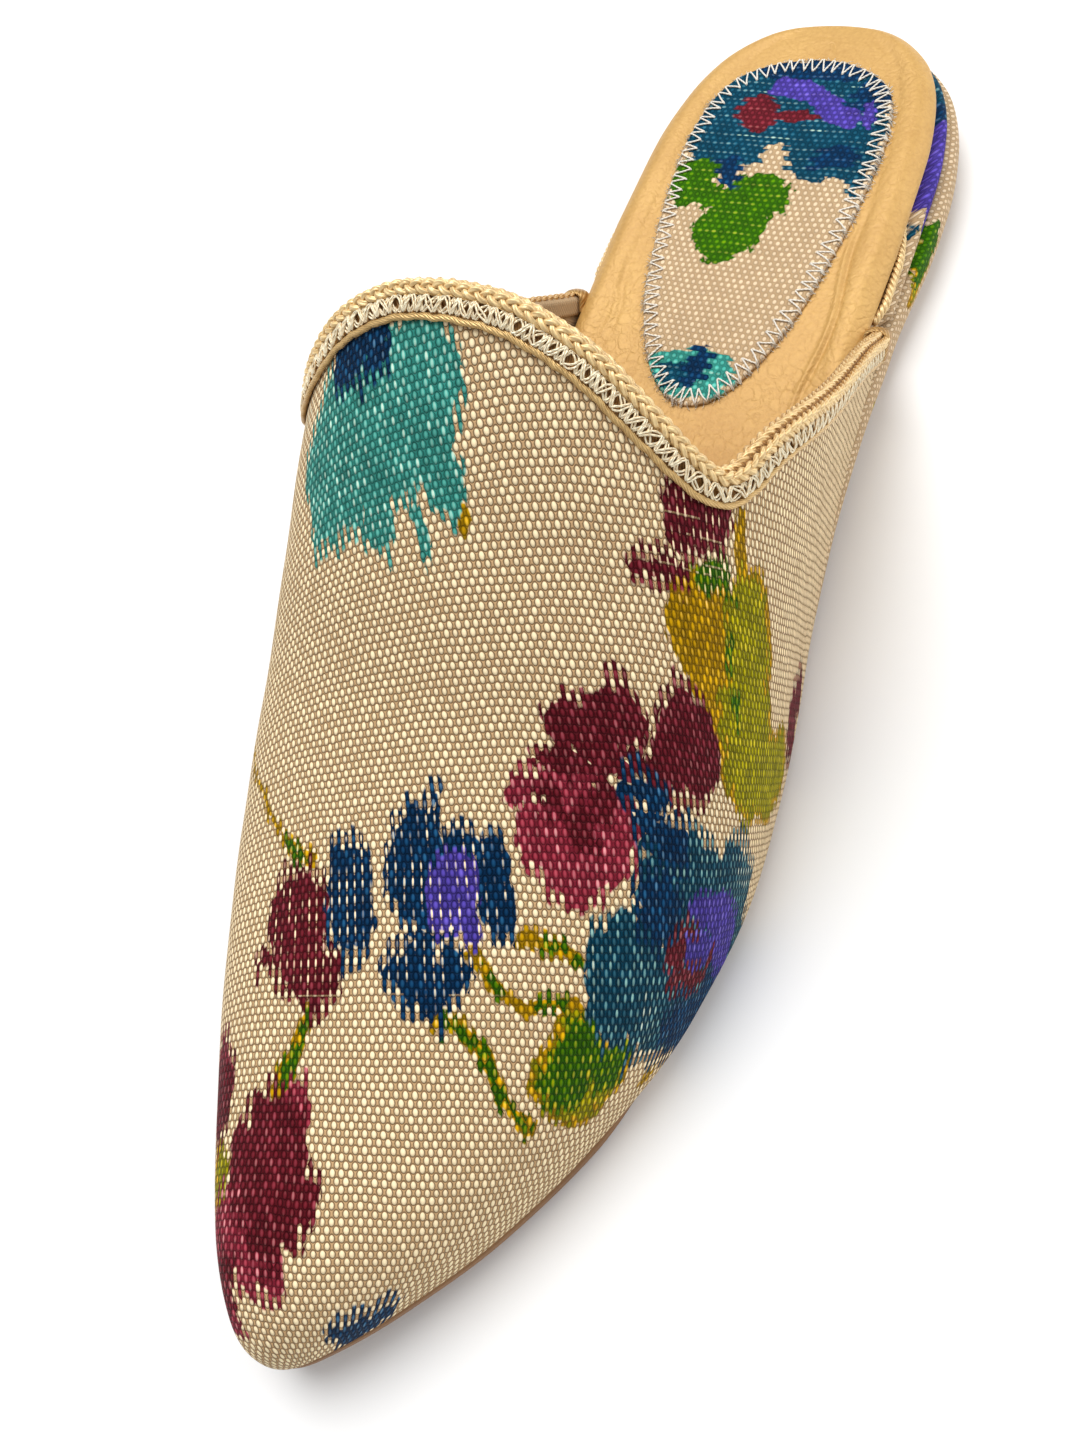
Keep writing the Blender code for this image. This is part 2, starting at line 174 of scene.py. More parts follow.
def triangle_wave(phase: Number) -> Array:
    """Zig-zag between -1 and 1, once for each whole number of the phase."""
    return 4.0 * np.abs((np.asarray(phase, float) % 1.0) - 0.5) - 1.0


def new_object(name: str, data: bpy.types.ID) -> bpy.types.Object:
    """Put a new object in the scene.

    Args:
        name: Its name.
        data: Its mesh, lamp or camera.

    Returns:
        The object.
    """
    made = bpy.data.objects.new(name, data)
    bpy.context.scene.collection.objects.link(made)
    return made


def facing(right: Array, up: Array, back: Array, place: Array) -> Matrix:
    """World matrix from three axes and a place in metres."""
    axes = np.stack([right, up, back, place], axis=1)
    return Matrix(np.vstack([axes, (0.0, 0.0, 0.0, 1.0)]).tolist())


@dataclass(frozen=True)
class Last:
    """The shape that the shoe is made on, with the sizes of its solids."""

    length: float = 262.0
    ball_width: float = 84.0
    instep: float = 80.8
    wall: float = 2.0
    gap: float = 0.3
    roundness: float = 2.3
    sole_thickness: float = 2.6
    arch_rise: float = 1.4
    arch_from: float = 84.0
    arch_to: float = 148.0
    toe_spring: float = 6.9
    spring_from: float = 198.0
    spring_power: float = 1.8
    wedge_end: float = 138.0
    band_end: float = 118.0
    band_stand: float = 1.3
    notch_from: float = 61.5
    notch_to: float = 64.0
    layer_fade: float = 14.0
    clearance: float = 0.45
    inside_from: float = 52.0
    inside_to: float = 68.0
    middle: float = 130.5

    def half_width(self, station: Number) -> Array:
        """Half the width of the outline."""
        share = np.asarray(station) / self.length
        return 0.5 * self.ball_width * rounded(share, LAST_TABLE[:, 0], LAST_TABLE[:, 1])

    def patch_half_width(self, station: Number) -> Array:
        """Half the width of the oval patch."""
        return rounded(station, PATCH_TABLE[:, 0], PATCH_TABLE[:, 1])

    def fade(self, station: Number, end: float) -> Array:
        """1 up to the end station, falling smoothly to 0 over the fade length."""
        return 1.0 - ease((np.asarray(station, float) - end) / self.layer_fade)

    def sole_bottom(self, station: Number) -> Array:
        """Underside of the outsole: flat at heel and ball, raised at the arch and the toe.

        The arch is a squared sine, and the toe spring a power of the share of its length.

        Args:
            station: Stations.

        Returns:
            Heights.
        """
        station = np.asarray(station, float)
        arch = np.clip((station - self.arch_from) / (self.arch_to - self.arch_from), 0.0, 1.0)
        spring = np.clip((station - self.spring_from) / (self.length - self.spring_from), 0.0, None)
        return self.arch_rise * np.sin(math.pi * arch) ** 2 + self.toe_spring * spring ** self.spring_power

    def sole_top(self, station: Number) -> Array:
        """Top of the outsole."""
        return self.sole_bottom(station) + self.sole_thickness

    def wedge_bottom(self, station: Number) -> Array:
        """Underside of the heel wedge."""
        return self.sole_top(station) + self.gap

    def wedge_top(self, station: Number) -> Array:
        """Top of the heel wedge."""
        return self.wedge_bottom(station) + curve(station, LAYER_TABLE, 1)

    def band_bottom(self, station: Number) -> Array:
        """Underside of the heel band."""
        return self.wedge_top(station) + self.gap

    def band_top(self, station: Number) -> Array:
        """Top of the heel band."""
        return self.band_bottom(station) + curve(station, LAYER_TABLE, 2)

    def upper_base(self, station: Number) -> Array:
        """Lower edge of the upper, on the wedge and further forward on the outsole."""
        wedge = curve(station, LAYER_TABLE, 1) + self.gap
        return self.sole_top(station) + self.gap + wedge * self.fade(station, self.wedge_end)

    def insole_bottom(self, station: Number) -> Array:
        """Underside of the insole, on the band, then the wedge, then the outsole."""
        band = curve(station, LAYER_TABLE, 2) + self.gap
        return self.upper_base(station) + band * self.fade(station, self.band_end)

    def insole_top(self, station: Number) -> Array:
        """Top of the insole."""
        return self.insole_bottom(station) + curve(station, LAYER_TABLE, 3)

    def sole_margin(self, station: Number) -> Array:
        """How far the outsole stands out from the last."""
        return curve(station, MARGIN_TABLE, 1)

    def wedge_margin(self, station: Number) -> Array:
        """How far the heel wedge stands out from the last."""
        return curve(station, MARGIN_TABLE, 2)

    def upper_margin(self, station: Number) -> Array:
        """How far the upper's lower edge stands out from the last."""
        return curve(station, MARGIN_TABLE, 3)

    def inside_margin(self, station: Number) -> Array:
        """Where a piece inside the upper ends, clear of the wall."""
        return self.upper_margin(station) - self.wall - self.clearance

    def band_margin(self, station: Number) -> Array:
        """The heel band stands out round the heel and steps in where the upper begins."""
        inside = np.clip((station - self.notch_from) / (self.notch_to - self.notch_from), 0.0, 1.0)
        return self.band_stand + inside * (self.inside_margin(station) - self.band_stand)

    def insole_margin(self, station: Number) -> Array:
        """The insole fills the last at the heel and stays clear of the wall inside the upper."""
        inside = np.clip((station - self.inside_from) / (self.inside_to - self.inside_from), 0.0, 1.0)
        return inside * self.inside_margin(station)

    def to_space(self, x: Number, station: Number, z: Number) -> Array:
        """Points in the shoe's frame from sideways place, station and height."""
        x, station, z = np.broadcast_arrays(x, station, z)
        return np.stack([x, self.middle - station, z], axis=-1)

    def collar_station(self, around: Number) -> Array:
        """Station of the collar's edge, by how far round from the ridge."""
        return curve(np.abs(around), COLLAR_TABLE, 1)

    def upper_point(self, station: Number, angle: Number) -> Array:
        """Point on the outside of the upper.

        The section is a superellipse over the last's width, rising from the upper's base, with its
        sides let out by the belly.

        Args:
            station: Distance forward from the back.
            angle: From 0 at the right feather line over the ridge to pi at the left one.

        Returns:
            Points in the shoe's frame.
        """
        station, angle = np.broadcast_arrays(np.asarray(station, float), np.asarray(angle, float))
        cosine, sine = np.cos(angle), np.abs(np.sin(angle))
        power = 2.0 / self.roundness
        share = station / self.length
        belly = curve(share, LAST_TABLE, 3)
        rise = self.instep * rounded(share, LAST_TABLE[:, 0], LAST_TABLE[:, 2])
        half = self.half_width(station) + self.upper_margin(station)
        x = half * np.sign(cosine) * np.abs(cosine) ** power + belly * np.sin(2.0 * angle)
        return self.to_space(x, station, self.upper_base(station) + rise * sine ** power)

    def upper_slopes(self, station: Number, angle: Number) -> Tuple[Array, Array, Array]:
        """The upper's derivatives by station and by angle, and its outward normal.

        Args:
            station: Stations.
            angle: Angles round the section.

        Returns:
            Steps per millimetre of station, steps per radian, and unit normals.
        """
        reach, turn = 0.05, 0.002
        station, angle = np.broadcast_arrays(np.asarray(station, float), np.asarray(angle, float))
        low, high = np.clip(angle - turn, 0.0, math.pi), np.clip(angle + turn, 0.0, math.pi)
        ahead = np.minimum(station + reach, self.length)
        behind = ahead - 2.0 * reach
        along = (self.upper_point(ahead, angle) - self.upper_point(behind, angle)) / (2.0 * reach)
        across = (self.upper_point(station, high) - self.upper_point(station, low)) / (high - low)[..., None]
        return along, across, unit(np.cross(across, along))


@dataclass(frozen=True)
class Drape:
    """How the vamp's cloth lies on the last: threads run at a slant to the ridge.

    A place on the upper has an arc, measured along its cross-section from the ridge, and a ridge
    length, measured along the ridge from the collar. Cloth coordinates (u across the warp, v along
    it, both in millimetres) are these two turned by the slant of the warp and of the weft.
    """

    last: Last
    warp_slant: float = math.radians(109.0)
    weft_slant: float = math.radians(-159.0)
    first_station: float = 56.0
    collar_peak: float = 123.1
    station_steps: int = 420
    angle_steps: int = 400

    def cloth(self, station: Array, angle: Array) -> Tuple[Array, Array]:
        """Cloth coordinates of places on the upper.

        Args:
            station: Stations of the places.
            angle: Angles round the section.

        Returns:
            u and v in millimetres, each in the shape of the input.
        """
        stations = np.linspace(self.first_station, self.last.length, self.station_steps + 1)
        angles = np.linspace(0.0, math.pi, self.angle_steps + 1)
        shape = self.last.upper_point(stations[:, None], angles[None, :])
        pieces = np.linalg.norm(np.diff(shape, axis=1), axis=-1)
        arc = np.concatenate([np.zeros((len(stations), 1)), np.cumsum(pieces, axis=1)], axis=1)
        half = self.angle_steps // 2
        arc -= arc[:, half:half + 1]
        ridge = travel(shape[:, half])
        ridge -= np.interp(self.collar_peak, stations, ridge)
        row = np.clip((station - stations[0]) / (stations[1] - stations[0]), 0.0, self.station_steps - 1e-6)
        column = np.clip(angle / (angles[1] - angles[0]), 0.0, self.angle_steps - 1e-6)
        i, j = row.astype(int), column.astype(int)
        a, b = row - i, column - j
        low = (1.0 - b) * arc[i, j] + b * arc[i, j + 1]
        high = (1.0 - b) * arc[i + 1, j] + b * arc[i + 1, j + 1]
        place = np.stack([(1.0 - a) * low + a * high, np.interp(station, stations, ridge)], axis=0)
        axes = np.array([[math.cos(self.weft_slant), math.cos(self.warp_slant)],
                         [math.sin(self.weft_slant), math.sin(self.warp_slant)]])
        u, v = np.tensordot(np.linalg.inv(axes), place, axes=1)
        return u, v


class Ink(Enum):
    """Colours of the warp print, in the order in which they are laid over each other."""

    TURQUOISE = 0
    MUSTARD = 1
    LEAF = 2
    GREEN = 3
    ROSE = 4
    WINE = 5
    SEA = 6
    NAVY = 7
    PALE = 8
    PURPLE = 9
    PLUM = 10
    BARE = 11


@dataclass(frozen=True)
class Blot:
    """One oval of ink: its middle, its half sizes across and along the warp, and its tilt in degrees."""

    u: float
    v: float
    half_u: float
    half_v: float
    tilt: float = 0.0

    def distance(self, u: Array, v: Array) -> Array:
        """Near enough the distance to the oval's edge, less than 0 inside.

        It is the oval's radius, which is 1 on the edge, less 1, over the slope of that radius.

        Args:
            u: Places across the warp.
            v: Places along it.

        Returns:
            Distances.
        """
        turn = math.radians(self.tilt)
        x = (u - self.u) * math.cos(turn) + (v - self.v) * math.sin(turn)
        y = (v - self.v) * math.cos(turn) - (u - self.u) * math.sin(turn)
        size = np.hypot(x / self.half_u, y / self.half_v)
        slope = np.hypot(x / self.half_u ** 2, y / self.half_v ** 2)
        return size * (size - 1.0) / np.maximum(slope, 1e-3)


@dataclass(frozen=True)
class Stem:
    """One stroke of ink: half its width, and the points of its line."""

    half: float
    points: Tuple[Tuple[float, float], ...]

    def distance(self, u: Array, v: Array) -> Array:
        """Distance to the stroke's edge, less than 0 inside.

        Args:
            u: Places across the warp.
            v: Places along it.

        Returns:
            Distances.
        """
        best = np.full(np.shape(u), np.inf)
        for (u0, v0), (u1, v1) in zip(self.points[:-1], self.points[1:]):
            du, dv = u1 - u0, v1 - v0
            t = np.clip(((u - u0) * du + (v - v0) * dv) / (du * du + dv * dv), 0.0, 1.0)
            best = np.minimum(best, np.hypot(u - u0 - t * du, v - v0 - t * dv))
        return best - self.half


@dataclass(frozen=True)
class Print:
    """A warp print: ovals and stems by ink, with edges that wander, and bars where ink skips threads.

    A row of an oval is its middle across and along, half its width across and along, and where it
    has one its tilt in degrees. A row of a stem is half its width and its points.
    """

    blots: Mapping[Ink, Sequence[OvalRow]]
    stems: Mapping[Ink, Sequence[StemRow]] = field(default_factory=dict)
    bars: Sequence[OvalRow] = ()
    warp: Tuple[float, float] = (0.0, 1.0)
    far: float = 40.0
    wander: float = 0.4
    bar_fade: float = 4.0

    def distances(self, u: Array, v: Array) -> Array:
        """Distance to the nearest edge of each ink, at places that slow waves bend a little.

        Args:
            u: First place in the print's chart.
            v: Second place in the print's chart.

        Returns:
            Distances, inks along the last axis.
        """
        bent_u = u + self.wander * (np.sin(0.45 * v + 0.31 * u) + 0.5 * np.sin(1.25 * v + 0.2 * u + 2.0))
        bent_v = v + self.wander * (np.sin(0.52 * u + 1.0) + 0.5 * np.sin(1.15 * u - 0.3 * v))
        found = np.full(np.shape(u) + (len(Ink),), self.far)
        for shape, rows_by_ink in ((Blot, self.blots), (Stem, self.stems)):
            for ink, rows in rows_by_ink.items():
                for row in rows:
                    near = shape(*row).distance(bent_u, bent_v)
                    found[..., ink.value] = np.minimum(found[..., ink.value], near)
        return found

    def fields(self, u: Array, v: Array) -> Dict[str, Array]:
        """Fields that the cloth finish reads at each point of a mesh.

        Args:
            u: First place in the print's chart.
            v: Second place in the print's chart.

        Returns:
            Edge distances and their slopes along the warp, three inks to a field, and the bars.
        """
        u, v = np.ravel(u), np.ravel(v)
        edge = self.distances(u, v)
        du, dv = 0.5 * self.warp[0], 0.5 * self.warp[1]
        lean = self.distances(u + du, v + dv) - self.distances(u - du, v - dv)
        bars = np.zeros(len(u))
        for bar in self.bars:
            bars = np.maximum(bars, ease(-Blot(*bar).distance(u, v) / self.bar_fade))
        groups = range(len(Ink) // 3)
        named = {f"edge_{k}": edge[:, 3 * k:3 * k + 3] for k in groups}
        named.update({f"lean_{k}": np.clip(lean[:, 3 * k:3 * k + 3], -1.0, 1.0) for k in groups})
        named["bars"] = bars
        return named


VAMP_PRINT = Print(
    blots={
        Ink.TURQUOISE: [
            (-17, 13, 14.5, 13), (-6, 10, 6, 10), (-28, 16, 6.2, 10), (-25, 23, 6, 5),
            (-6, 22, 3.6, 6.5), (-11, 28, 1.2, 6.5), (-18, 26, 4, 4.6), (-30, 23, 3.4, 4),
            (-85, 68, 6, 7),
        ],
        Ink.PALE: [
            (-36, 2, 5, 5), (-22, 26, 6, 2), (-22, 15, 0.5, 8), (6, 92, 1.2, 7), (17, 97.5, 2.6, 4.6),
            (43, 76, 5, 4),
        ],
        Ink.NAVY: [
            (-17, 1.5, 6.5, 5), (-20, 4, 2.8, 3.4), (-14, 4.6, 3.6, 3.6), (16, 64.6, 4.4, 3.5),
            (16.5, 69, 3.4, 3), (21, 71, 3.4, 4.5), (18, 80, 4.5, 6), (30, 98, 9, 5.5), (40, 92, 7, 6),
            (-31.3, 78.6, 4.7, 9.3), (-19.6, 75.5, 5.6, 9.8), (-17, 67, 2, 3.6), (-19, 90, 6.8, 6.2),
            (-8, 77.6, 3.3, 8.2), (-12.5, 72.5, 3, 3.5), (-28.6, 141.6, 6.2, 4.8),
            (-24.4, 139.6, 3.4, 3.4), (-67, -4, 4, 6),
        ],
        Ink.MUSTARD: [
            (-4.2, 28.4, 1.5, 2.3), (32.5, 41.5, 8.7, 9.5), (35, 50, 5.2, 9), (42.4, 29, 2.2, 6.5),
            (36, 58, 3.6, 6.5), (45.5, 41, 8.2, 10.4), (45, 54, 9.5, 11.9), (53, 60, 12.9, 7.9),
            (61.5, 58.5, 8.1, 6.9), (42, 62, 6.4, 5.9), (5, 104, 9.4, 7.6), (3, 98, 4, 5),
            (11, 103.5, 4.8, 5), (22.4, 106, 2.6, 1.4), (-56.4, 118, 3.2, 4.6), (-81, 50, 6, 9),
        ],
        Ink.WINE: [
            (33, 25.5, 7.2, 6.4), (28.5, 29, 3, 4), (36, 28.5, 3.4, 3.2), (24, 34.4, 5.6, 2.7),
            (9, 56, 7, 5.4), (14.2, 55, 4.4, 6.3), (26, 56.3, 7.4, 8), (21.5, 60.5, 4.6, 4.8),
            (8, 61, 8.5, 2.4), (25, 62, 6, 4), (1.4, 66.4, 2.4, 3.2), (5.8, 69.4, 2.6, 3.8),
            (9.6, 66, 2.6, 3.4), (74, 52, 6, 7.5), (80, 46, 5.5, 5), (-41, 82.5, 6.8, 10),
            (-37.5, 90, 4.8, 6.2), (-48, 87, 2.6, 2), (-44.4, 116.5, 7.6, 11.3), (-42, 121.5, 6.4, 7),
            (-49.6, 115.4, 4, 7), (-58.6, 106, 4.9, 8.6), (-54.6, 134, 4.6, 6.4), (-44.5, 127, 4, 5),
            (-77, 8, 6, 7), (-69, 15, 6, 7), (-60, -48, 8, 9),
        ],
        Ink.GREEN: [
            (35, 33.8, 5.6, 3), (38, 34.5, 2.8, 1.8), (37.4, 44, 1.9, 3.4), (38.6, 50.5, 1.7, 3),
            (4.6, 99.8, 4.8, 5.4), (10.5, 102.4, 4.8, 4.2), (2, 104.6, 5, 5), (-82, 52, 4.4, 6),
        ],
        Ink.LEAF: [
            (44.2, 41, 9.6, 10.5), (43.5, 54, 11.1, 12), (53, 60, 13, 8), (61.5, 58.5, 8.2, 7),
            (42, 62, 6.5, 6), (37.5, 57, 5, 7.5), (5, 104, 9.4, 7.6), (3, 98, 4, 5),
            (11, 103.5, 4.8, 5), (-55.6, 118, 3.6, 5.6), (-81, 50, 6.4, 9.4),
        ],
        Ink.ROSE: [
            (5, 70, 9.8, 8.8), (-2, 65, 3.4, 3.2), (3.5, 77, 5, 4.2), (-52.4, 126.5, 6, 7.4),
            (-45.6, 131, 5, 4.8), (-40.6, 108, 2.8, 4.4), (-58.8, 100, 3.8, 4), (-53.4, 138.5, 3.6, 4),
            (-76, 17, 5, 6), (-54, -40, 5, 6),
        ],
        Ink.SEA: [
            (24, 78, 11, 10), (39, 77, 9.5, 8.5), (12, 90, 8, 10.5), (28, 93, 15, 11), (16, 97, 5, 6),
            (45, 88, 6, 9), (-71, -12, 7, 11), (-61, -5, 6, 9),
        ],
        Ink.PURPLE: [
            (31.5, 80, 7.6, 3), (38, 84.5, 6.5, 5), (40.5, 88, 4.4, 3.6), (28, 86, 4.6, 3.4),
            (-14.5, 78.8, 4.7, 6.3), (-11.8, 84, 1.8, 2.6), (-66, -9, 3.6, 3.6), (-61, -47, 3, 3),
        ],
        Ink.PLUM: [
            (22.4, 86.4, 3, 3.8), (27, 90.4, 6.6, 2.4), (33.4, 88, 1.6, 2.6), (25, 83.2, 3.2, 1.2),
        ],
    },
    stems={
        Ink.GREEN: [
            (0.8, ((29.5, 33.6), (34, 32.6), (38, 31))), (1.5, ((-44, 69.2), (-39.6, 71.6))),
            (1.6, ((-38.8, 96.5), (-40.8, 101), (-42.8, 104.4))), (1.2, ((-11, 88.6), (-8, 91.8))),
            (1.3, ((-3, 93.8), (0.6, 93.6))), (1.4, ((-0.6, 85.8), (3.6, 87.6))),
            (1.5, ((-16.6, 96.3), (-13.6, 97.2), (-10.4, 102.6), (-7, 107.4), (-4.6, 110))),
            (1.4, ((-72, 24), (-78, 39))),
        ],
        Ink.BARE: [(0.25, ((18.3, 48.5), (18.5, 56.5))), (0.25, ((-1.5, 66.8), (0.5, 66.8)))],
        Ink.MUSTARD: [
            (0.85, ((-59, 49.5), (-52.5, 57.5), (-48, 64.6), (-44.3, 68.9))),
            (1.6, ((-44.3, 68.9), (-41, 71), (-38, 72.2))),
            (1.8, ((-38.8, 95.8), (-41, 101), (-43.6, 105.5))),
            (1.4, ((-12, 87.4), (-9, 91.2), (-4.5, 93.8), (2.5, 93.6))),
            (1.7, ((-4.6, 84.3), (3.4, 87.5))),
            (1.6, ((-17.4, 96.2), (-14, 96.6), (-11, 101.5), (-7.4, 107), (-4, 110.6))),
            (1.5, ((-71, 20), (-74, 31), (-80, 42))),
        ],
    },
    bars=[(-27, 82, 26, 18), (30, 30, 12, 9)],
)

PATCH_PRINT = Print(
    blots={
        Ink.SEA: [
            (-1, 28.5, 10, 5.5), (-8, 19, 10, 5), (8, 17.5, 8, 4), (2, 22.5, 14, 6), (12, 26, 6, 7),
            (-9, 27, 6, 7), (-15.5, 27, 5.6, 11), (-8, 34, 7, 5), (10, 33.8, 9.6, 7),
            (16.5, 33, 3.2, 10.5), (-3, 82.5, 5, 3),
        ],
        Ink.NAVY: [
            (-1, 14.4, 13, 3), (-8, 39.5, 2.6, 4), (14, 20, 5, 5), (11, 35, 5, 3), (0, 81, 2.7, 4.4),
        ],
        Ink.PALE: [(-4, 31.5, 7, 1.8), (-8, 20.4, 4, 1), (5, 28.4, 4, 1.4), (10, 18, 3.6, 0.8, 24)],
        Ink.PURPLE: [(14.5, 25, 1.4, 3.6)],
        Ink.PLUM: [(-7.4, 25.6, 4.4, 4.8), (0, 26, 5.6, 1.7)],
        Ink.BARE: [(-1, 35.6, 2.3, 3)],
        Ink.GREEN: [
            (-14.5, 42, 5.6, 7), (-1.6, 44.6, 8.4, 5.8), (-3.6, 52, 7.6, 8.4), (-9, 46, 6, 3.4),
        ],
        Ink.TURQUOISE: [(-0.8, 82, 9.4, 5.2)],
    },
    stems={
        Ink.PURPLE: [(2.6, ((-5, 18.2), (2, 20.6), (11, 26)))],
    },
    warp=(1.0, 0.0),
)

BAND_PRINT = Print(
    blots={
        Ink.SEA: [(27, 13, 10, 6), (-34, 13, 9, 5)],
        Ink.NAVY: [(0, 13, 22, 6), (34, 14.4, 4, 1.6)],
        Ink.PURPLE: [(45, 13, 10.4, 6)],
        Ink.LEAF: [(-50, 13, 5, 4)],
    },
    stems={
        Ink.PURPLE: [(1.4, ((50, 11.9), (60, 11.2)))],
        Ink.SEA: [(0.8, ((55, 14.8), (62, 13.8)))],
        Ink.PALE: [(0.7, ((55.5, 13.6), (60, 12.8)))],
        Ink.LEAF: [(0.6, ((57, 13.4), (63.5, 12.2)))],
    },
    warp=(0.0, 0.3),
    wander=0.3,
)

WEDGE_PRINT = Print(
    blots={
        Ink.MUSTARD: [(68.5, 8.4, 9.4, 2.4, -8)],
        Ink.LEAF: [(67, 8.7, 9.6, 3.4, -8), (97, 5.5, 3, 1.5)],
        Ink.GREEN: [(65.6, 9.0, 8.4, 2.7, -7), (-30, 6, 5, 3)],
        Ink.WINE: [(-58, 6, 6, 4)],
    },
    warp=(0.0, 0.3),
    wander=0.3,
)


def grid_faces(rows: int, columns: int) -> Array:
    """Four-cornered faces of a grid of points in reading order.

    Args:
        rows: Rows of points.
        columns: Points in a row.

    Returns:
        Point numbers, four to a face.
    """
    corner = np.arange(rows * columns).reshape(rows, columns)
    around = [corner[:-1, :-1], corner[1:, :-1], corner[1:, 1:], corner[:-1, 1:]]
    return np.stack(around, axis=-1).reshape(-1, 4)


@dataclass
class Surface:
    """Points, faces and thread coordinates of a piece before it becomes a mesh."""

    points: Array
    faces: Array
    thread: Array
    slots: Optional[Array] = None
    fields: Dict[str, Array] = field(default_factory=dict)

    def piece(self, name: str, materials: Sequence[bpy.types.Material], slot: str) -> bpy.types.Object:
        """Make the mesh in metres, merge its seams and poles, and turn its faces outwards.

        Args:
            name: The piece's name.
            materials: Its materials, in the order of the face slots.
            slot: Not used.

        Returns:
            The new object, riding on the shoe.
        """
        mesh = bpy.data.meshes.new(name)
        mesh.vertices.add(len(self.points))
        mesh.vertices.foreach_set("co", (self.points * MM).astype(np.float32).ravel())
        mesh.loops.add(self.faces.size)
        mesh.loops.foreach_set("vertex_index", self.faces.astype(np.int32).ravel())
        mesh.polygons.add(len(self.faces))
        mesh.polygons.foreach_set("loop_start", np.arange(0, self.faces.size, 4, dtype=np.int32))
        layer = mesh.uv_layers.new(name="thread")
        layer.data.foreach_set("uv", self.thread[self.faces.ravel()].astype(np.float32).ravel())
        for key, values in self.fields.items():
            single = values.ndim == 1
            attribute = mesh.attributes.new(key, "FLOAT" if single else "FLOAT_VECTOR", "POINT")
            attribute.data.foreach_set("value" if single else "vector", values.astype(np.float32).ravel())
        if self.slots is not None:
            mesh.polygons.foreach_set("material_index", self.slots.astype(np.int32))
        mesh.update(calc_edges=True)
        work = bmesh.new()
        work.from_mesh(mesh)
        bmesh.ops.remove_doubles(work, verts=work.verts, dist=WELD)
        bmesh.ops.recalc_face_normals(work, faces=work.faces)
        work.to_mesh(mesh)
        work.free()
        mesh.shade_smooth()
        for material in materials:
            mesh.materials.append(material)
        shape = new_object(name, mesh)
        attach(shape, BODY)
        LOG.info("%s: %d faces", name, len(mesh.polygons))
        return shape


def tubes(paths: Array, ups: Array, radius: Number, sides: int, flat: float = 1.0, lobes: int = 0,
          lobe_depth: float = 0.0, lobe_pitch: float = 1.0) -> Surface:
    """Round yarns carried along paths, closed to a point at both ends.

    Each point is the path plus radius times (cos a across the path, flat times sin a along the up
    direction); a lobed yarn's radius also swells with cos(lobes * a) turning once per lobe pitch.

    Args:
        paths: Points of the paths, (yarns, points, 3).
        ups: Directions away from what the yarns lie on, in the same shape.
        radius: Yarn radius, one number or (yarns, points).
        sides: Number of sides of a yarn.
        flat: Height of the section over its width.
        lobes: Number of plies that show in the section.
        lobe_depth: Depth of the plies as a share of the radius.
        lobe_pitch: Length of one turn of the plies.

    Returns:
        The surface, with thread coordinates round and along each yarn in millimetres.
    """
    count, steps = paths.shape[:2]
    tangent = unit(np.gradient(paths, axis=1))
    across = unit(np.cross(tangent, ups))
    rise = np.cross(across, tangent)
    size = np.broadcast_to(np.asarray(radius, float), (count, steps)).copy()
    size[:, 0] = 0.0
    size[:, -1] = 0.0
    gone = np.concatenate([np.zeros((count, 1)),
                           np.cumsum(np.linalg.norm(np.diff(paths, axis=1), axis=-1), axis=1)], axis=1)
    turn = np.linspace(0.0, FULL_TURN, sides + 1)
    swell = 1.0 + lobe_depth * np.cos(lobes * turn + FULL_TURN * gone[..., None] / lobe_pitch)
    reach = size[..., None] * swell
    points = (paths[:, :, None, :] + (reach * np.cos(turn))[..., None] * across[:, :, None, :]
              + (flat * reach * np.sin(turn))[..., None] * rise[:, :, None, :])
    around = np.broadcast_to(turn / FULL_TURN, points.shape[:3])
    thread = np.stack([around, np.broadcast_to(gone[..., None], points.shape[:3])], axis=-1)
    one = grid_faces(steps, sides + 1)
    base = (np.arange(count) * steps * (sides + 1))[:, None, None]
    return Surface(points.reshape(-1, 3), (one[None] + base).reshape(-1, 4), thread.reshape(-1, 2))


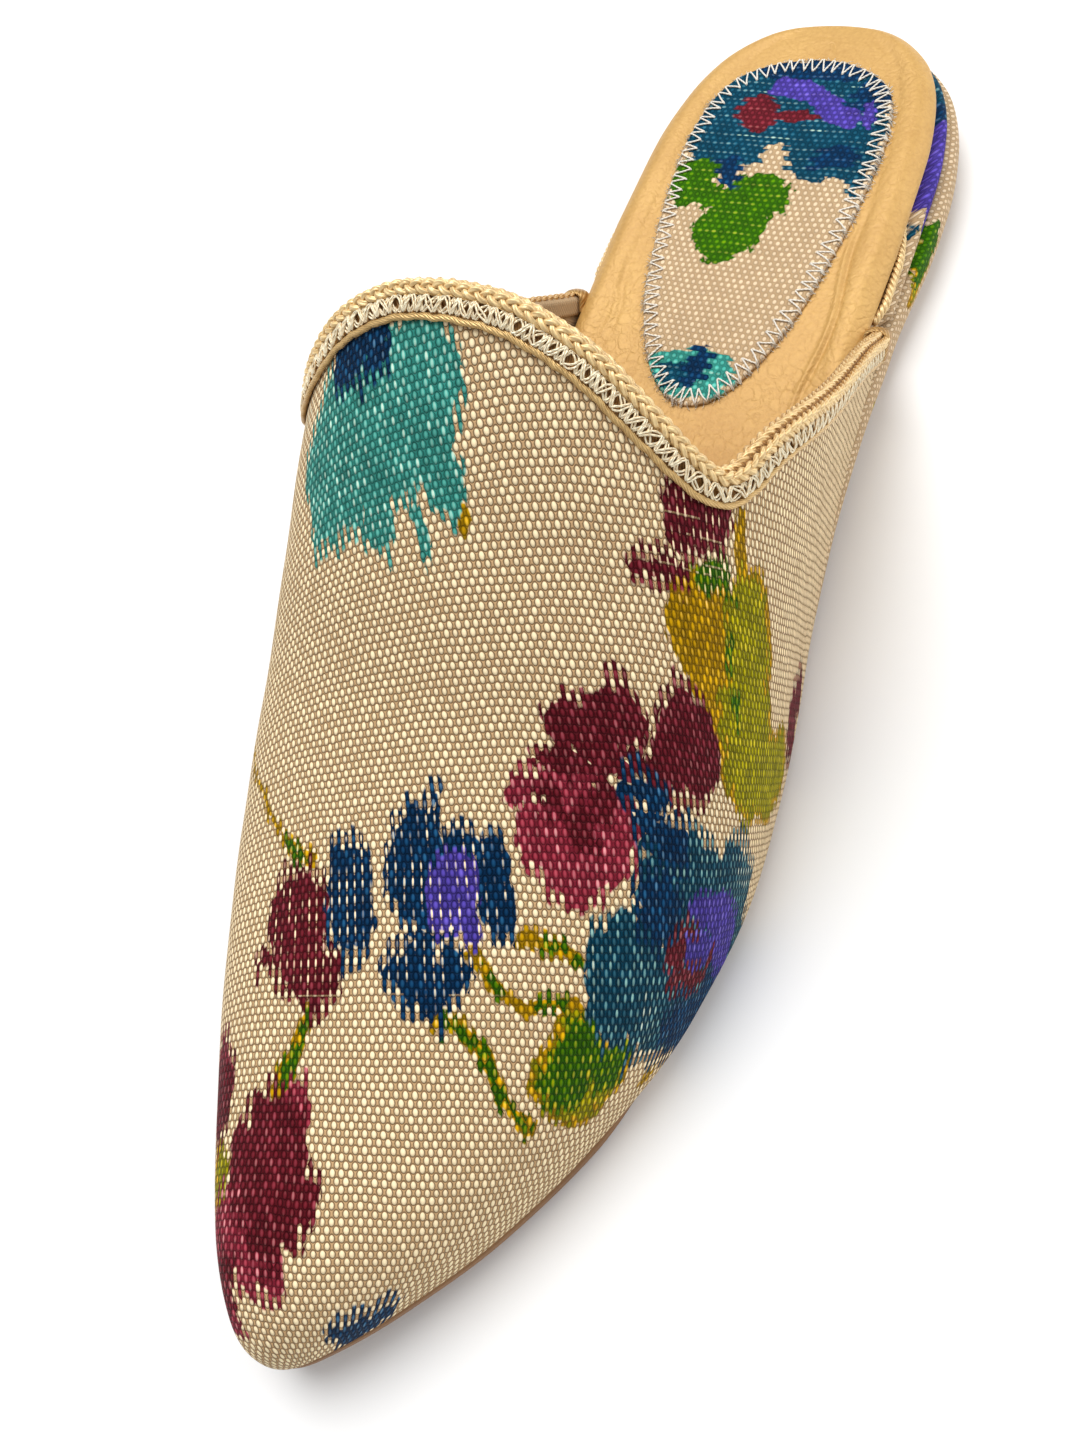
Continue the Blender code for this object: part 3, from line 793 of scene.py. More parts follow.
@dataclass(frozen=True)
class Layer:
    """A layer under the foot: rings up its edge, closed across underneath and on top.

    The outline is moved out by its margin less the ring's inset. Rings run up the right side from
    the back to the front and back along the left side. Above and below the edge the rings shrink
    sideways on to the middle line.
    """

    last: Last
    plan: Callable[[Array], Array]
    ends: Tuple[float, float]
    margin: Callable[[Array], Array]
    bottom: Callable[[Array], Array]
    top: Callable[[Array], Array]
    edge: EdgeTable
    front: float = math.inf
    steps: int = 150
    edge_rows: int = 16
    cap_rows: int = 3
    samples: int = 3000
    turn_weight: float = 25.0
    edge_tall: float = 4.0

    def side(self, inset: float) -> Array:
        """Right half of the outline at an inset, with points closer where it turns.

        The plan's curve moves along its normal by the margin less the inset, and is cut where it
        passes the middle line or the front.

        Args:
            inset: How far inside the margin.

        Returns:
            Points (x, station), from the back to the front.
        """
        share = 0.5 - 0.5 * np.cos(np.linspace(0.0, math.pi, self.samples))
        station = self.ends[0] + (self.ends[1] - self.ends[0]) * share
        line = np.stack([self.plan(station), station], axis=1)
        tangent = unit(np.gradient(line, axis=0))
        outward = np.stack([tangent[:, 1], -tangent[:, 0]], axis=1)
        moved = line + outward * (self.margin(station) - inset)[:, None]
        moved[0, 0] = 0.0
        past = (moved[:, 0] < 0.0) | (moved[:, 1] > self.front - inset)
        past[:self.samples // 4] = False
        if past.any():
            first = int(np.argmax(past))
            before, after = moved[first - 1], moved[first]
            if after[0] < 0.0:
                t = before[0] / (before[0] - after[0])
            else:
                t = (self.front - inset - before[1]) / (after[1] - before[1])
            moved = np.vstack([moved[:first], before + t * (after - before)])
        else:
            moved[-1, 0] = 0.0
        step = np.diff(moved, axis=0)
        heading = np.unwrap(np.arctan2(step[:, 0], step[:, 1]))
        turn = np.abs(np.diff(heading, prepend=heading[0]))
        gone = np.concatenate(([0.0], np.cumsum(np.linalg.norm(step, axis=1) + self.turn_weight * turn)))
        wanted = np.linspace(0.0, gone[-1], self.steps + 1)
        return np.stack([np.interp(wanted, gone, moved[:, axis]) for axis in (0, 1)], axis=1)

    def rings(self) -> Tuple[Array, Array, Array, Array]:
        """Sideways place, station, height and outline distance of the rings, (rows, columns) each.

        Returns:
            x, station, z, and the distance along the outline from the back, less than 0 on the left.
        """
        inset, share = np.array(self.edge).T
        knots = travel(np.stack([inset, share * self.edge_tall], axis=1))
        t = np.linspace(0.0, knots[-1], self.edge_rows)
        insets, shares = monotone(t, knots, inset), monotone(t, knots, share)
        sides = np.stack([self.side(float(i)) for i in insets])
        gone = np.stack([travel(side) for side in sides])
        mirrored = sides[:, ::-1] * (-1.0, 1.0)
        ring = np.concatenate([sides, mirrored], axis=1)
        length = np.concatenate([gone, -gone[:, ::-1]], axis=1)
        shrink = np.linspace(0.0, 1.0, self.cap_rows + 1)[1:]
        x = np.concatenate([ring[0, :, 0] * (1.0 - shrink[::-1, None]), ring[..., 0],
                            ring[-1, :, 0] * (1.0 - shrink[:, None])])
        station = np.concatenate([np.repeat(ring[:1, :, 1], self.cap_rows, axis=0), ring[..., 1],
                                  np.repeat(ring[-1:, :, 1], self.cap_rows, axis=0)])
        length = np.concatenate([np.repeat(length[:1], self.cap_rows, axis=0), length,
                                 np.repeat(length[-1:], self.cap_rows, axis=0)])
        level = np.concatenate([np.zeros(self.cap_rows), shares, np.ones(self.cap_rows)])[:, None]
        low, high = self.bottom(station), self.top(station)
        return x, station, low + level * (high - low), length

    def surface(self, x: Array, station: Array, z: Array, thread: Array) -> Surface:
        """The layer's surface from its rings, closed to itself along the seam at the back.

        Args:
            x: Sideways places of the rings.
            station: Their stations.
            z: Their heights.
            thread: Their thread coordinates.

        Returns:
            The surface.
        """
        points = self.last.to_space(x, station, z)
        closed = np.concatenate([points, points[:, :1]], axis=1)
        threads = np.concatenate([thread, thread[:, -1:]], axis=1)
        rows, columns = closed.shape[:2]
        return Surface(closed.reshape(-1, 3), grid_faces(rows, columns), threads.reshape(-1, 2))


class Shade:
    """A value in a material: a socket with arithmetic that adds Math nodes."""

    def __init__(self, nodes: "Nodes", socket: bpy.types.NodeSocket) -> None:
        """Keep the socket and the nodes that it belongs to."""
        self.nodes = nodes
        self.socket = socket

    def __add__(self, other: "Value") -> "Shade":
        """Sum."""
        return self.nodes.math("ADD", self, other)

    def __radd__(self, other: "Value") -> "Shade":
        """Sum, number first."""
        return self.nodes.math("ADD", other, self)

    def __sub__(self, other: "Value") -> "Shade":
        """Difference."""
        return self.nodes.math("SUBTRACT", self, other)

    def __rsub__(self, other: "Value") -> "Shade":
        """Difference, number first."""
        return self.nodes.math("SUBTRACT", other, self)

    def __mul__(self, other: "Value") -> "Shade":
        """Product."""
        return self.nodes.math("MULTIPLY", self, other)

    def __rmul__(self, other: "Value") -> "Shade":
        """Product, number first."""
        return self.nodes.math("MULTIPLY", other, self)

    def __truediv__(self, other: "Value") -> "Shade":
        """Quotient."""
        return self.nodes.math("DIVIDE", self, other)

    def __mod__(self, other: "Value") -> "Shade":
        """Remainder of the same sign as the divisor."""
        return self.nodes.math("FLOORED_MODULO", self, other)

    def __gt__(self, other: "Value") -> "Shade":
        """1 where it is more than the other."""
        return self.nodes.math("GREATER_THAN", self, other)

    def floor(self) -> "Shade":
        """Whole number below."""
        return self.nodes.math("FLOOR", self)

    def root(self) -> "Shade":
        """Square root of what is above 0."""
        return self.nodes.math("SQRT", self.nodes.math("MAXIMUM", self, 0.0))

    def sine(self) -> "Shade":
        """Sine of an angle in radians."""
        return self.nodes.math("SINE", self)

    def most(self, other: "Value") -> "Shade":
        """The larger of two."""
        return self.nodes.math("MAXIMUM", self, other)

    def held(self) -> "Shade":
        """Held between 0 and 1."""
        return self.nodes.math("ADD", self, 0.0, clamp=True)


Value = Union[Shade, float]


class Nodes:
    """The nodes of one material."""

    def __init__(self, name: str) -> None:
        """Start a material with a plain Principled surface.

        Args:
            name: The material's name.
        """
        self.material = bpy.data.materials.new(name)
        self.material.use_nodes = True
        self.tree = self.material.node_tree
        self.surface = self.tree.nodes["Principled BSDF"]

    def feed(self, node: bpy.types.Node, key: Union[str, int], value: object) -> None:
        """Link a socket's value, or set it where it is a number or a colour.

        Args:
            node: The node.
            key: Name, identifier or number of its input.
            value: What goes in.
        """
        found = node.inputs[key] if isinstance(key, int) else next(
            s for s in node.inputs if key in (s.identifier, s.name))
        if isinstance(value, Shade):
            value = value.socket
        if isinstance(value, bpy.types.NodeSocket):
            self.tree.links.new(value, found)
        else:
            found.default_value = value

    def add(self, kind: str, settings: Mapping[str, object], inputs: Mapping[Union[str, int], object],
            output: Union[str, int] = 0) -> Shade:
        """Add one node.

        Args:
            kind: The node's type.
            settings: Its own settings, set first.
            inputs: Values or links of its sockets.
            output: The output that is wanted.

        Returns:
            That output.
        """
        node = self.tree.nodes.new(kind)
        for key, value in settings.items():
            setattr(node, key, value)
        for key, value in inputs.items():
            self.feed(node, key, value)
        return Shade(self, node.outputs[output])

    def math(self, operation: str, *values: Value, clamp: bool = False) -> Shade:
        """One Math node."""
        settings = {"operation": operation, "use_clamp": clamp}
        return self.add("ShaderNodeMath", settings, dict(enumerate(values)))

    def mix(self, factor: Value, first: object, second: object, mode: str = "MIX") -> Shade:
        """Mix two colours by a factor."""
        inputs = {"Factor_Float": factor, "A_Color": first, "B_Color": second}
        return self.add("ShaderNodeMix", {"data_type": "RGBA", "blend_type": mode}, inputs, 2)

    def vector(self, x: Value, y: Value, z: Value = 0.0) -> Shade:
        """A vector from its parts."""
        return self.add("ShaderNodeCombineXYZ", {}, {0: x, 1: y, 2: z})

    def parts(self, vector: Shade) -> Tuple[Shade, Shade, Shade]:
        """The three parts of a vector."""
        first = self.add("ShaderNodeSeparateXYZ", {}, {0: vector})
        return tuple(Shade(self, socket) for socket in first.socket.node.outputs)

    def thread(self) -> Tuple[Shade, Shade]:
        """Thread coordinates of the piece."""
        u, v, _ = self.parts(self.add("ShaderNodeUVMap", {"uv_map": "thread"}, {}))
        return u, v

    def place(self) -> Shade:
        """Place in the shoe's frame, in metres."""
        return self.add("ShaderNodeTexCoord", {}, {}, "Object")

    def noise(self, vector: Shade, scale: float, detail: float = 2.0) -> Shade:
        """Soft noise around 0.5."""
        return self.add("ShaderNodeTexNoise", {}, {"Vector": vector, "Scale": scale, "Detail": detail}, 0)

    def chance(self, *parts: Value) -> Shade:
        """A chance value for each place, with no passage between places.

        Args:
            *parts: One or two numbers that name the place.

        Returns:
            A value from 0 to 1.
        """
        single = len(parts) == 1
        settings = {"noise_dimensions": "1D" if single else "2D"}
        inputs = {"W": parts[0]} if single else {"Vector": self.vector(*parts)}
        return self.add("ShaderNodeTexWhiteNoise", settings, inputs)

    def scaled(self, colour: object, factor: Value) -> Shade:
        """A colour made lighter or darker."""
        grey = self.add("ShaderNodeCombineColor", {}, {0: factor, 1: factor, 2: factor})
        return self.mix(1.0, colour, grey, "MULTIPLY")

    def bump(self, height: Shade, depth: float, strength: float = 1.0) -> None:
        """Feed a height into the surface's normal.

        Args:
            height: The height, as a share of the depth.
            depth: What height 1 stands for, in millimetres.
            strength: How much of it is used.
        """
        inputs = {"Height": height, "Distance": depth * MM, "Strength": strength}
        self.feed(self.surface, "Normal", self.add("ShaderNodeBump", {}, inputs))

    def attribute(self, name: str, output: str) -> Shade:
        """A field of the mesh."""
        return self.add("ShaderNodeAttribute", {"attribute_name": name}, {}, output)

    def plain(self, **values: object) -> None:
        """Set sockets of the surface that are the same all over."""
        for key, value in values.items():
            self.feed(self.surface, key.replace("_", " "), value)


def eye(red: int, green: int, blue: int) -> Colour:
    """Linear colour from the eye's scale of 0 to 255.

    Args:
        red: Red.
        green: Green.
        blue: Blue.

    Returns:
        The colour, opaque.
    """
    scaled = np.array([red, green, blue]) / 255.0
    linear = np.where(scaled <= 0.04045, scaled / 12.92, ((scaled + 0.055) / 1.055) ** 2.4)
    return (float(linear[0]), float(linear[1]), float(linear[2]), 1.0)


@dataclass(frozen=True)
class Dye:
    """One ink: its colour in the cloth and on a pale float, where it also gives the painted sheen
    along the crown; how far its edges run; how mottled they are.
    """

    colour: Colour
    # light: shown on pale, faded floats and as the painted sheen along a float's crown
    light: Colour
    run: float
    mottle: float = 0.5


DYES: Dict[Ink, Dye] = {
    Ink.TURQUOISE: Dye(eye(64, 166, 152), eye(184, 218, 200), 1.0),
    Ink.MUSTARD: Dye(eye(190, 144, 0), eye(236, 184, 20), 0.4),
    Ink.LEAF: Dye(eye(166, 158, 0), eye(214, 194, 10), 0.4, 3.0),
    Ink.GREEN: Dye(eye(58, 116, 0), eye(176, 170, 6), 0.6, 1.4),
    Ink.ROSE: Dye(eye(162, 44, 64), eye(212, 134, 140), 0.8),
    Ink.WINE: Dye(eye(112, 24, 36), eye(152, 72, 84), 0.9, 0.8),
    Ink.SEA: Dye(eye(4, 74, 100), eye(128, 176, 170), 1.0, 0.8),
    Ink.NAVY: Dye(eye(4, 52, 92), eye(44, 104, 142), 1.1),
    Ink.PALE: Dye(eye(150, 190, 176), eye(226, 232, 214), 1.0, 2.0),
    Ink.PURPLE: Dye(eye(84, 68, 172), eye(114, 98, 192), 0.5),
    Ink.PLUM: Dye(eye(114, 30, 42), eye(150, 74, 82), 0.8, 0.8),
    Ink.BARE: Dye(eye(246, 228, 192), eye(255, 240, 206), 0.6),
}


@dataclass(frozen=True)
class WovenCloth:
    """Plain-woven cloth: rounded ivory floats, tan weft between them, printed along the warp.

    Spacings are in millimetres, the floats' half sizes in thread spacings, and the drift is how many
    threads the lines of floats wander.
    """

    name: str
    across: float = 0.70
    along: float = 1.09
    float_half: Tuple[float, float] = (0.66, 0.57)
    ivory: Colour = eye(255, 234, 192)
    tan: Colour = eye(210, 172, 126)
    # gap: colour of the painted shade in the ring round each float's foot
    gap: Colour = eye(124, 92, 60)
    relief: float = 0.5
    tooth: float = 3.2
    side_soft: float = 0.22
    tip_soft: float = 0.45
    depth: float = 1.0
    # How strongly the painted sheen on the floats' crowns shows, together with the faded threads
    sheen_and_fade_strength: float = 1.0
    drift: float = 0.7
    drift_scale: float = 0.11
    # Where the ring of painted shade round a float's foot lies, and how dark it is
    foot_off: float = 1.05
    foot_shade_depth: float = 0.85
    crosswise: bool = False

    def make(self) -> bpy.types.Material:
        """Lay out the weave, its relief and the print.

        A float stands at every other crossing of warp and pick; its oval dome reaches over the
        weft beside it. Painted shade makes the weft darkest round the dome's foot, and a painted
        highlight lightens each dome, ivory and inked alike, towards its crown. Each ink covers the
        places whose edge distance, moved along the warp by the thread's own chance, is below 0.

        Returns:
            The material.
        """
        n = Nodes(self.name)
        u, v = n.thread()
        slow = {"Vector": n.vector(u, v), "Scale": self.drift_scale, "Detail": 1.0}
        drift_u, drift_v, _ = n.parts(n.add("ShaderNodeTexNoise", {}, slow, 1))
        across = u / self.across + drift_u * self.drift
        along = v / self.along + drift_v * self.drift
        rising = ((across + along) * 0.5 + 0.5).floor()
        falling = ((across - along) * 0.5 + 0.5).floor()
        warp, pick = rising + falling, rising - falling
        own = n.chance(warp, pick)
        size = 0.9 + own * 0.18
        x = (across - warp) / (size * self.float_half[0])
        y = (along - pick) / (size * self.float_half[1])
        off = x * x + y * y
        dome = (1.0 - off).root()
        between = ((off - 1.0) * 1.3).held()
        # crest: ivory float over tan weft, graded from the crown down to tan at the float's rim as painted
        # shade of its dome
        crest = ((1.0 - off) * 1.9).held()
        # Painted shade in a ring round each float's foot, where the weft sinks between floats
        foot = (1.0 - n.math("ABSOLUTE", off - self.foot_off) * 2.4).held() * self.foot_shade_depth
        slim, tall = (y, x) if self.crosswise else (x, y)
        # dash: streak along a float's crown where the painted sheen and the faded ink show
        dash = ((1.0 - slim * slim * 4.0 - tall * tall * 0.8) * 2.5).held()
        slit = ((1.0 - slim * slim * 8.0 - tall * tall * 0.45) * 3.0).held()
        n.bump(dome * 0.8 + between * 0.3, self.relief)
        # Painted highlight: the ivory is made lighter towards the dome's crown
        pebble = n.mix(crest, self.tan, n.scaled(self.ivory, 0.92 + dome * 0.22))
        ground = n.mix(foot, pebble, self.gap)
        threads = (along, across, u, pick) if self.crosswise else (across, along, v, warp)
        ink, light, cover, faded = self.inks(n, threads, own, slit)
        # Painted sheen along the floats' crowns, mixed with the pale of threads that took less ink
        sheen_and_fade = (dash * (0.1 + faded * 0.75 + own * own * own * 0.5) * self.sheen_and_fade_strength).held()
        # Painted shade and highlight on the inked floats: lightest on the crown, darkest round the foot; the
        # float's chance also varies it at random
        tone = (0.47 + dome * 0.64 + between * 0.14) * (0.86 + own * 0.28)
        inked = n.scaled(n.mix(sheen_and_fade, ink, light), tone)
        printed = n.mix(cover, ground, inked)
        n.feed(n.surface, "Base Color", n.scaled(printed, 0.92 + own * 0.12))
        n.plain(Roughness=0.6, Specular_IOR_Level=0.06)
        return n.material

    def inks(self, n: Nodes, threads: Tuple[Shade, Shade, Shade, Shade], own: Shade,
             crown: Shade) -> Tuple[Shade, Shade, Shade, Shade]:
        """Colours and cover of the print.

        Every other thread takes less ink: the edge stops short on it, like a comb, and its floats stay
        pale in places, most of all where the bars are.

        Args:
            n: The material's nodes.
            threads: Place across the printed threads and along them, counted in threads, the place
                along them in millimetres, and the float's thread.
            own: The float's chance.
            crown: The slit along the float's crown.

        Returns:
            The ink's colour, its lighter colour for faded floats and for the painted sheen on their
            crowns, its cover and how faded the thread is.
        """
        across, along, v, warp = threads
        column = (across + 0.5).floor()
        odd, pair = warp % 2.0, (warp * 0.5).floor()
        comb = (column % 2.0 - 0.5) * (self.tooth * (0.35 + n.chance((column * 0.5).floor() + 0.25)))
        ragged = (n.chance(column + 0.75) - 0.5) * (0.7 * self.tooth)
        shift = comb + ragged + (own - 0.5) * (0.2 * self.tooth)
        streak = n.noise(n.vector(warp * 3.7, v * 0.13), 1.0, 2.0)
        faded = odd * ((n.noise(n.vector(pair * 5.3, v * 0.2), 1.0, 1.0) - 0.42) * 6.0).held()
        bars = n.attribute("bars", "Fac")
        dashes = faded * crown * (bars * 0.9 + 0.06)
        row = (along + 0.5).floor()
        stray = ((0.16 - n.math("ABSOLUTE", along - row - 0.3)) * 12.0).held() * (n.chance(row + 0.6) > 0.7)
        stray = stray * bars * (n.noise(n.vector(across * 0.2, row * 4.1), 1.0, 1.0) > 0.5)
        colour: object = self.ivory
        light: object = self.ivory
        cover: Value = 0.0
        for k in range(len(Ink) // 3):
            edge = n.parts(n.attribute(f"edge_{k}", "Vector"))
            lean = n.parts(n.attribute(f"lean_{k}", "Vector"))
            for slot in range(3):
                ink = Ink(3 * k + slot)
                dye = DYES[ink]
                moved = lean[slot] * shift * dye.run + edge[slot] + own * dye.mottle
                soft = n.math("ABSOLUTE", lean[slot]) * (self.tip_soft * dye.run) + self.side_soft
                inside = (0.5 - moved / soft).held()
                if ink is Ink.PALE:
                    inside = inside * crown * (0.25 + odd * 0.6)
                colour = n.mix(inside, colour, dye.colour)
                light = n.mix(inside, light, dye.light)
                cover = (cover * (1.0 - inside)) if ink is Ink.BARE else inside.most(cover)
        uneven = (0.56 + streak * 0.86) * self.depth
        cover = (cover * (1.0 - dashes) * (1.0 - stray * 0.55)).held()
        return n.scaled(colour, uneven), n.scaled(light, uneven), cover, faded


@dataclass(frozen=True)
class Lining:
    """Plain beige cotton inside the vamp."""

    name: str = "lining_cotton"
    colour: Colour = eye(192, 162, 124)
    ribs: float = 9.0

    def make(self) -> bpy.types.Material:
        """Fine cross ribs on a soft uneven colour.

        Returns:
            The material.
        """
        n = Nodes(self.name)
        u, v = n.thread()
        ribs = (u * self.ribs).sine() * (v * self.ribs).sine()
        blur = n.noise(n.place(), 90.0, 3.0)
        n.feed(n.surface, "Base Color", n.scaled(self.colour, 0.75 + blur * 0.4 + ribs * 0.06))
        n.bump(ribs * 0.5 + 0.5, 0.12)
        n.plain(Roughness=0.85)
        return n.material


@dataclass(frozen=True)
class GoldYarn:
    """Champagne-gold yarn with fine twisted filaments."""

    name: str
    colour: Colour = eye(255, 224, 164)
    shadow: Colour = eye(178, 130, 72)
    metallic: float = 0.22
    roughness: float = 0.26
    filaments: float = 5.0
    pitch: float = 1.6
    # crown: strength of the painted highlight on the yarn's top and the painted shade on its underside
    crown: float = 0.42

    def make(self) -> bpy.types.Material:
        """Filaments wind round the yarn, a sine of turns round plus turns along; a painted highlight
        lightens its crown and painted shade darkens its underside.

        Returns:
            The material.
        """
        n = Nodes(self.name)
        around, along = n.thread()
        wind = ((around * self.filaments + along / self.pitch) * FULL_TURN).sine()
        # Painted highlight on the yarn's crown and painted shade on its underside
        crown = (around * FULL_TURN).sine()
        uneven = n.noise(n.place(), 700.0, 2.0)
        light = (crown * self.crown + wind * 0.2 + 0.46 + (uneven - 0.5) * 0.9).held()
        n.feed(n.surface, "Base Color", n.mix(light, self.shadow, self.colour))
        n.feed(n.surface, "Roughness", self.roughness + uneven * 0.12)
        n.bump(wind * 0.5 + 0.5, 0.07)
        n.plain(Metallic=self.metallic, Specular_IOR_Level=0.5)
        return n.material


@dataclass(frozen=True)
class GoldLeather:
    """Soft gold leather with a crackled grain and small wrinkles."""

    name: str = "footbed_gold_leather"
    colour: Colour = eye(218, 175, 102)
    deep: Colour = eye(160, 110, 48)
    cell_scale: float = 460.0
    bend_scale: float = 380.0
    bend: float = 0.004
    patch_scale: float = 46.0
    fine_scale: float = 1500.0
    swell_scale: float = 90.0
    # Painted shade towards the toe under the vamp's collar: where it starts and how fast it deepens
    vamp_shade_from: float = 0.056
    vamp_shade_rate: float = 32.0

    def make(self) -> bpy.types.Material:
        """Crackled creases on the borders of bent cells, in patches; painted shade makes the colour
        deeper towards the toe, where the vamp's collar shades the insole.

        Returns:
            The material.
        """
        n = Nodes(self.name)
        place = n.place()
        rough = {"Vector": place, "Scale": self.bend_scale, "Detail": 3.0}
        bend = n.add("ShaderNodeTexNoise", {}, rough, 1)
        bent = n.add("ShaderNodeVectorMath", {"operation": "MULTIPLY_ADD"},
                     {0: bend, 1: (self.bend, self.bend, self.bend), 2: place})
        cells = n.add("ShaderNodeTexVoronoi", {"feature": "DISTANCE_TO_EDGE"},
                      {"Vector": bent, "Scale": self.cell_scale}, "Distance")
        patches = n.noise(place, self.patch_scale, 3.0)
        crease = (1.0 - cells * 4.5).held() * ((patches - 0.3) * 3.0).held()
        fine = n.noise(place, self.fine_scale, 4.0)
        swell = n.noise(place, self.swell_scale, 3.0)
        height = fine * 0.4 + swell * 1.1 - crease * 0.36
        # Painted shade: the leather deepens towards the toe, where the vamp's collar shades it
        vamp_shade = ((self.vamp_shade_from - n.parts(place)[1]) * self.vamp_shade_rate).held()
        tone = (0.12 + fine * 0.55 + swell * 0.4 + patches * 0.3 - crease * 0.1 - vamp_shade * 0.4).held()
        n.feed(n.surface, "Base Color", n.mix(tone, self.deep, self.colour))
        n.feed(n.surface, "Roughness", 0.44 + fine * 0.12)
        n.bump(height, 0.22, 0.8)
        n.plain(Metallic=0.15, Specular_IOR_Level=0.45)
        return n.material


@dataclass(frozen=True)
class SoleLeather:
    """Plain tan sole leather, fibrous and rubbed in patches."""

    name: str = "sole_leather"
    colour: Colour = eye(172, 128, 82)
    deep: Colour = eye(116, 78, 44)
    patch_scale: float = 42.0
    fibre_scale: float = 1500.0

    def make(self) -> bpy.types.Material:
        """Fibre grain with rubbed patches.

        Returns:
            The material.
        """
        n = Nodes(self.name)
        place = n.place()
        patches = n.noise(place, self.patch_scale, 5.0)
        grain = n.noise(place, self.fibre_scale, 3.0)
        rubbed = (patches * 0.9 + grain * 0.4 - 0.2).held()
        n.feed(n.surface, "Base Color", n.mix(rubbed, self.deep, self.colour))
        n.feed(n.surface, "Roughness", 0.5 + patches * 0.25)
        n.bump(grain * 0.6 + patches * 0.4, 0.14)
        return n.material


@dataclass(frozen=True)
class SewingThread:
    """Two-ply sewing thread."""

    name: str
    colour: Colour = eye(255, 248, 234)
    plies: float = 2.0
    pitch: float = 0.7

    def make(self) -> bpy.types.Material:
        """Plies wind round the thread.

        Returns:
            The material.
        """
        n = Nodes(self.name)
        around, along = n.thread()
        wind = ((around * self.plies + along / self.pitch) * FULL_TURN).sine()
        n.feed(n.surface, "Base Color", n.scaled(self.colour, 0.86 + wind * 0.1))
        n.bump(wind * 0.5 + 0.5, 0.06)
        n.plain(Roughness=0.5)
        return n.material


@dataclass(frozen=True)
class Paper:
    """White studio paper, lit through a little from below."""

    name: str = "studio_paper"

    def make(self) -> bpy.types.Material:
        """White with a breath of unevenness.

        Returns:
            The material.
        """
        n = Nodes(self.name)
        n.feed(n.surface, "Base Color", n.scaled(eye(246, 246, 246), 0.99 + n.noise(n.place(), 3.0) * 0.02))
        n.plain(Roughness=0.9, Specular_IOR_Level=0.1)
        n.plain(Emission_Color=(1.0, 1.0, 1.0, 1.0), Emission_Strength=0.03)
        return n.material


@dataclass(frozen=True)
class Finishes:
    """The materials of the shoe, each made once."""

    cloth: bpy.types.Material
    soft_cloth: bpy.types.Material
    lining: bpy.types.Material
    plait: bpy.types.Material
    silk: bpy.types.Material
    tape: bpy.types.Material
    ribbon: bpy.types.Material
    leather: bpy.types.Material
    sole: bpy.types.Material
    thread: bpy.types.Material

    @classmethod
    def made(cls) -> "Finishes":
        """Make every finish."""
        return cls(
            cloth=WovenCloth("printed_cloth").make(),
            # The soft cloth's gap colour is the painted shade round each float's foot
            soft_cloth=WovenCloth("soft_printed_cloth", float_half=(0.62, 0.46), tooth=1.6, crosswise=True,
                                  ivory=eye(224, 201, 168), tan=eye(196, 166, 128),
                                  gap=eye(170, 138, 100), relief=0.2, depth=1.2, sheen_and_fade_strength=0.3).make(),
            lining=Lining().make(),
            plait=GoldYarn("plait_yarn").make(),
            silk=GoldYarn("zigzag_yarn", eye(255, 244, 212), eye(228, 184, 120), metallic=0.15,
                          roughness=0.22, filaments=2.0, pitch=0.9).make(),
            tape=GoldYarn("tape_yarn", eye(196, 148, 80), eye(118, 78, 36), metallic=0.2,
                          roughness=0.45, filaments=1.0, pitch=0.5, crown=0.2).make(),
            ribbon=GoldYarn("ribbon_yarn", eye(232, 196, 132), eye(160, 116, 58), metallic=0.45,
                            roughness=0.32, filaments=8.0, pitch=0.8, crown=0.3).make(),
            leather=GoldLeather().make(),
            sole=SoleLeather().make(),
            thread=SewingThread("stitch_thread").make(),
        )


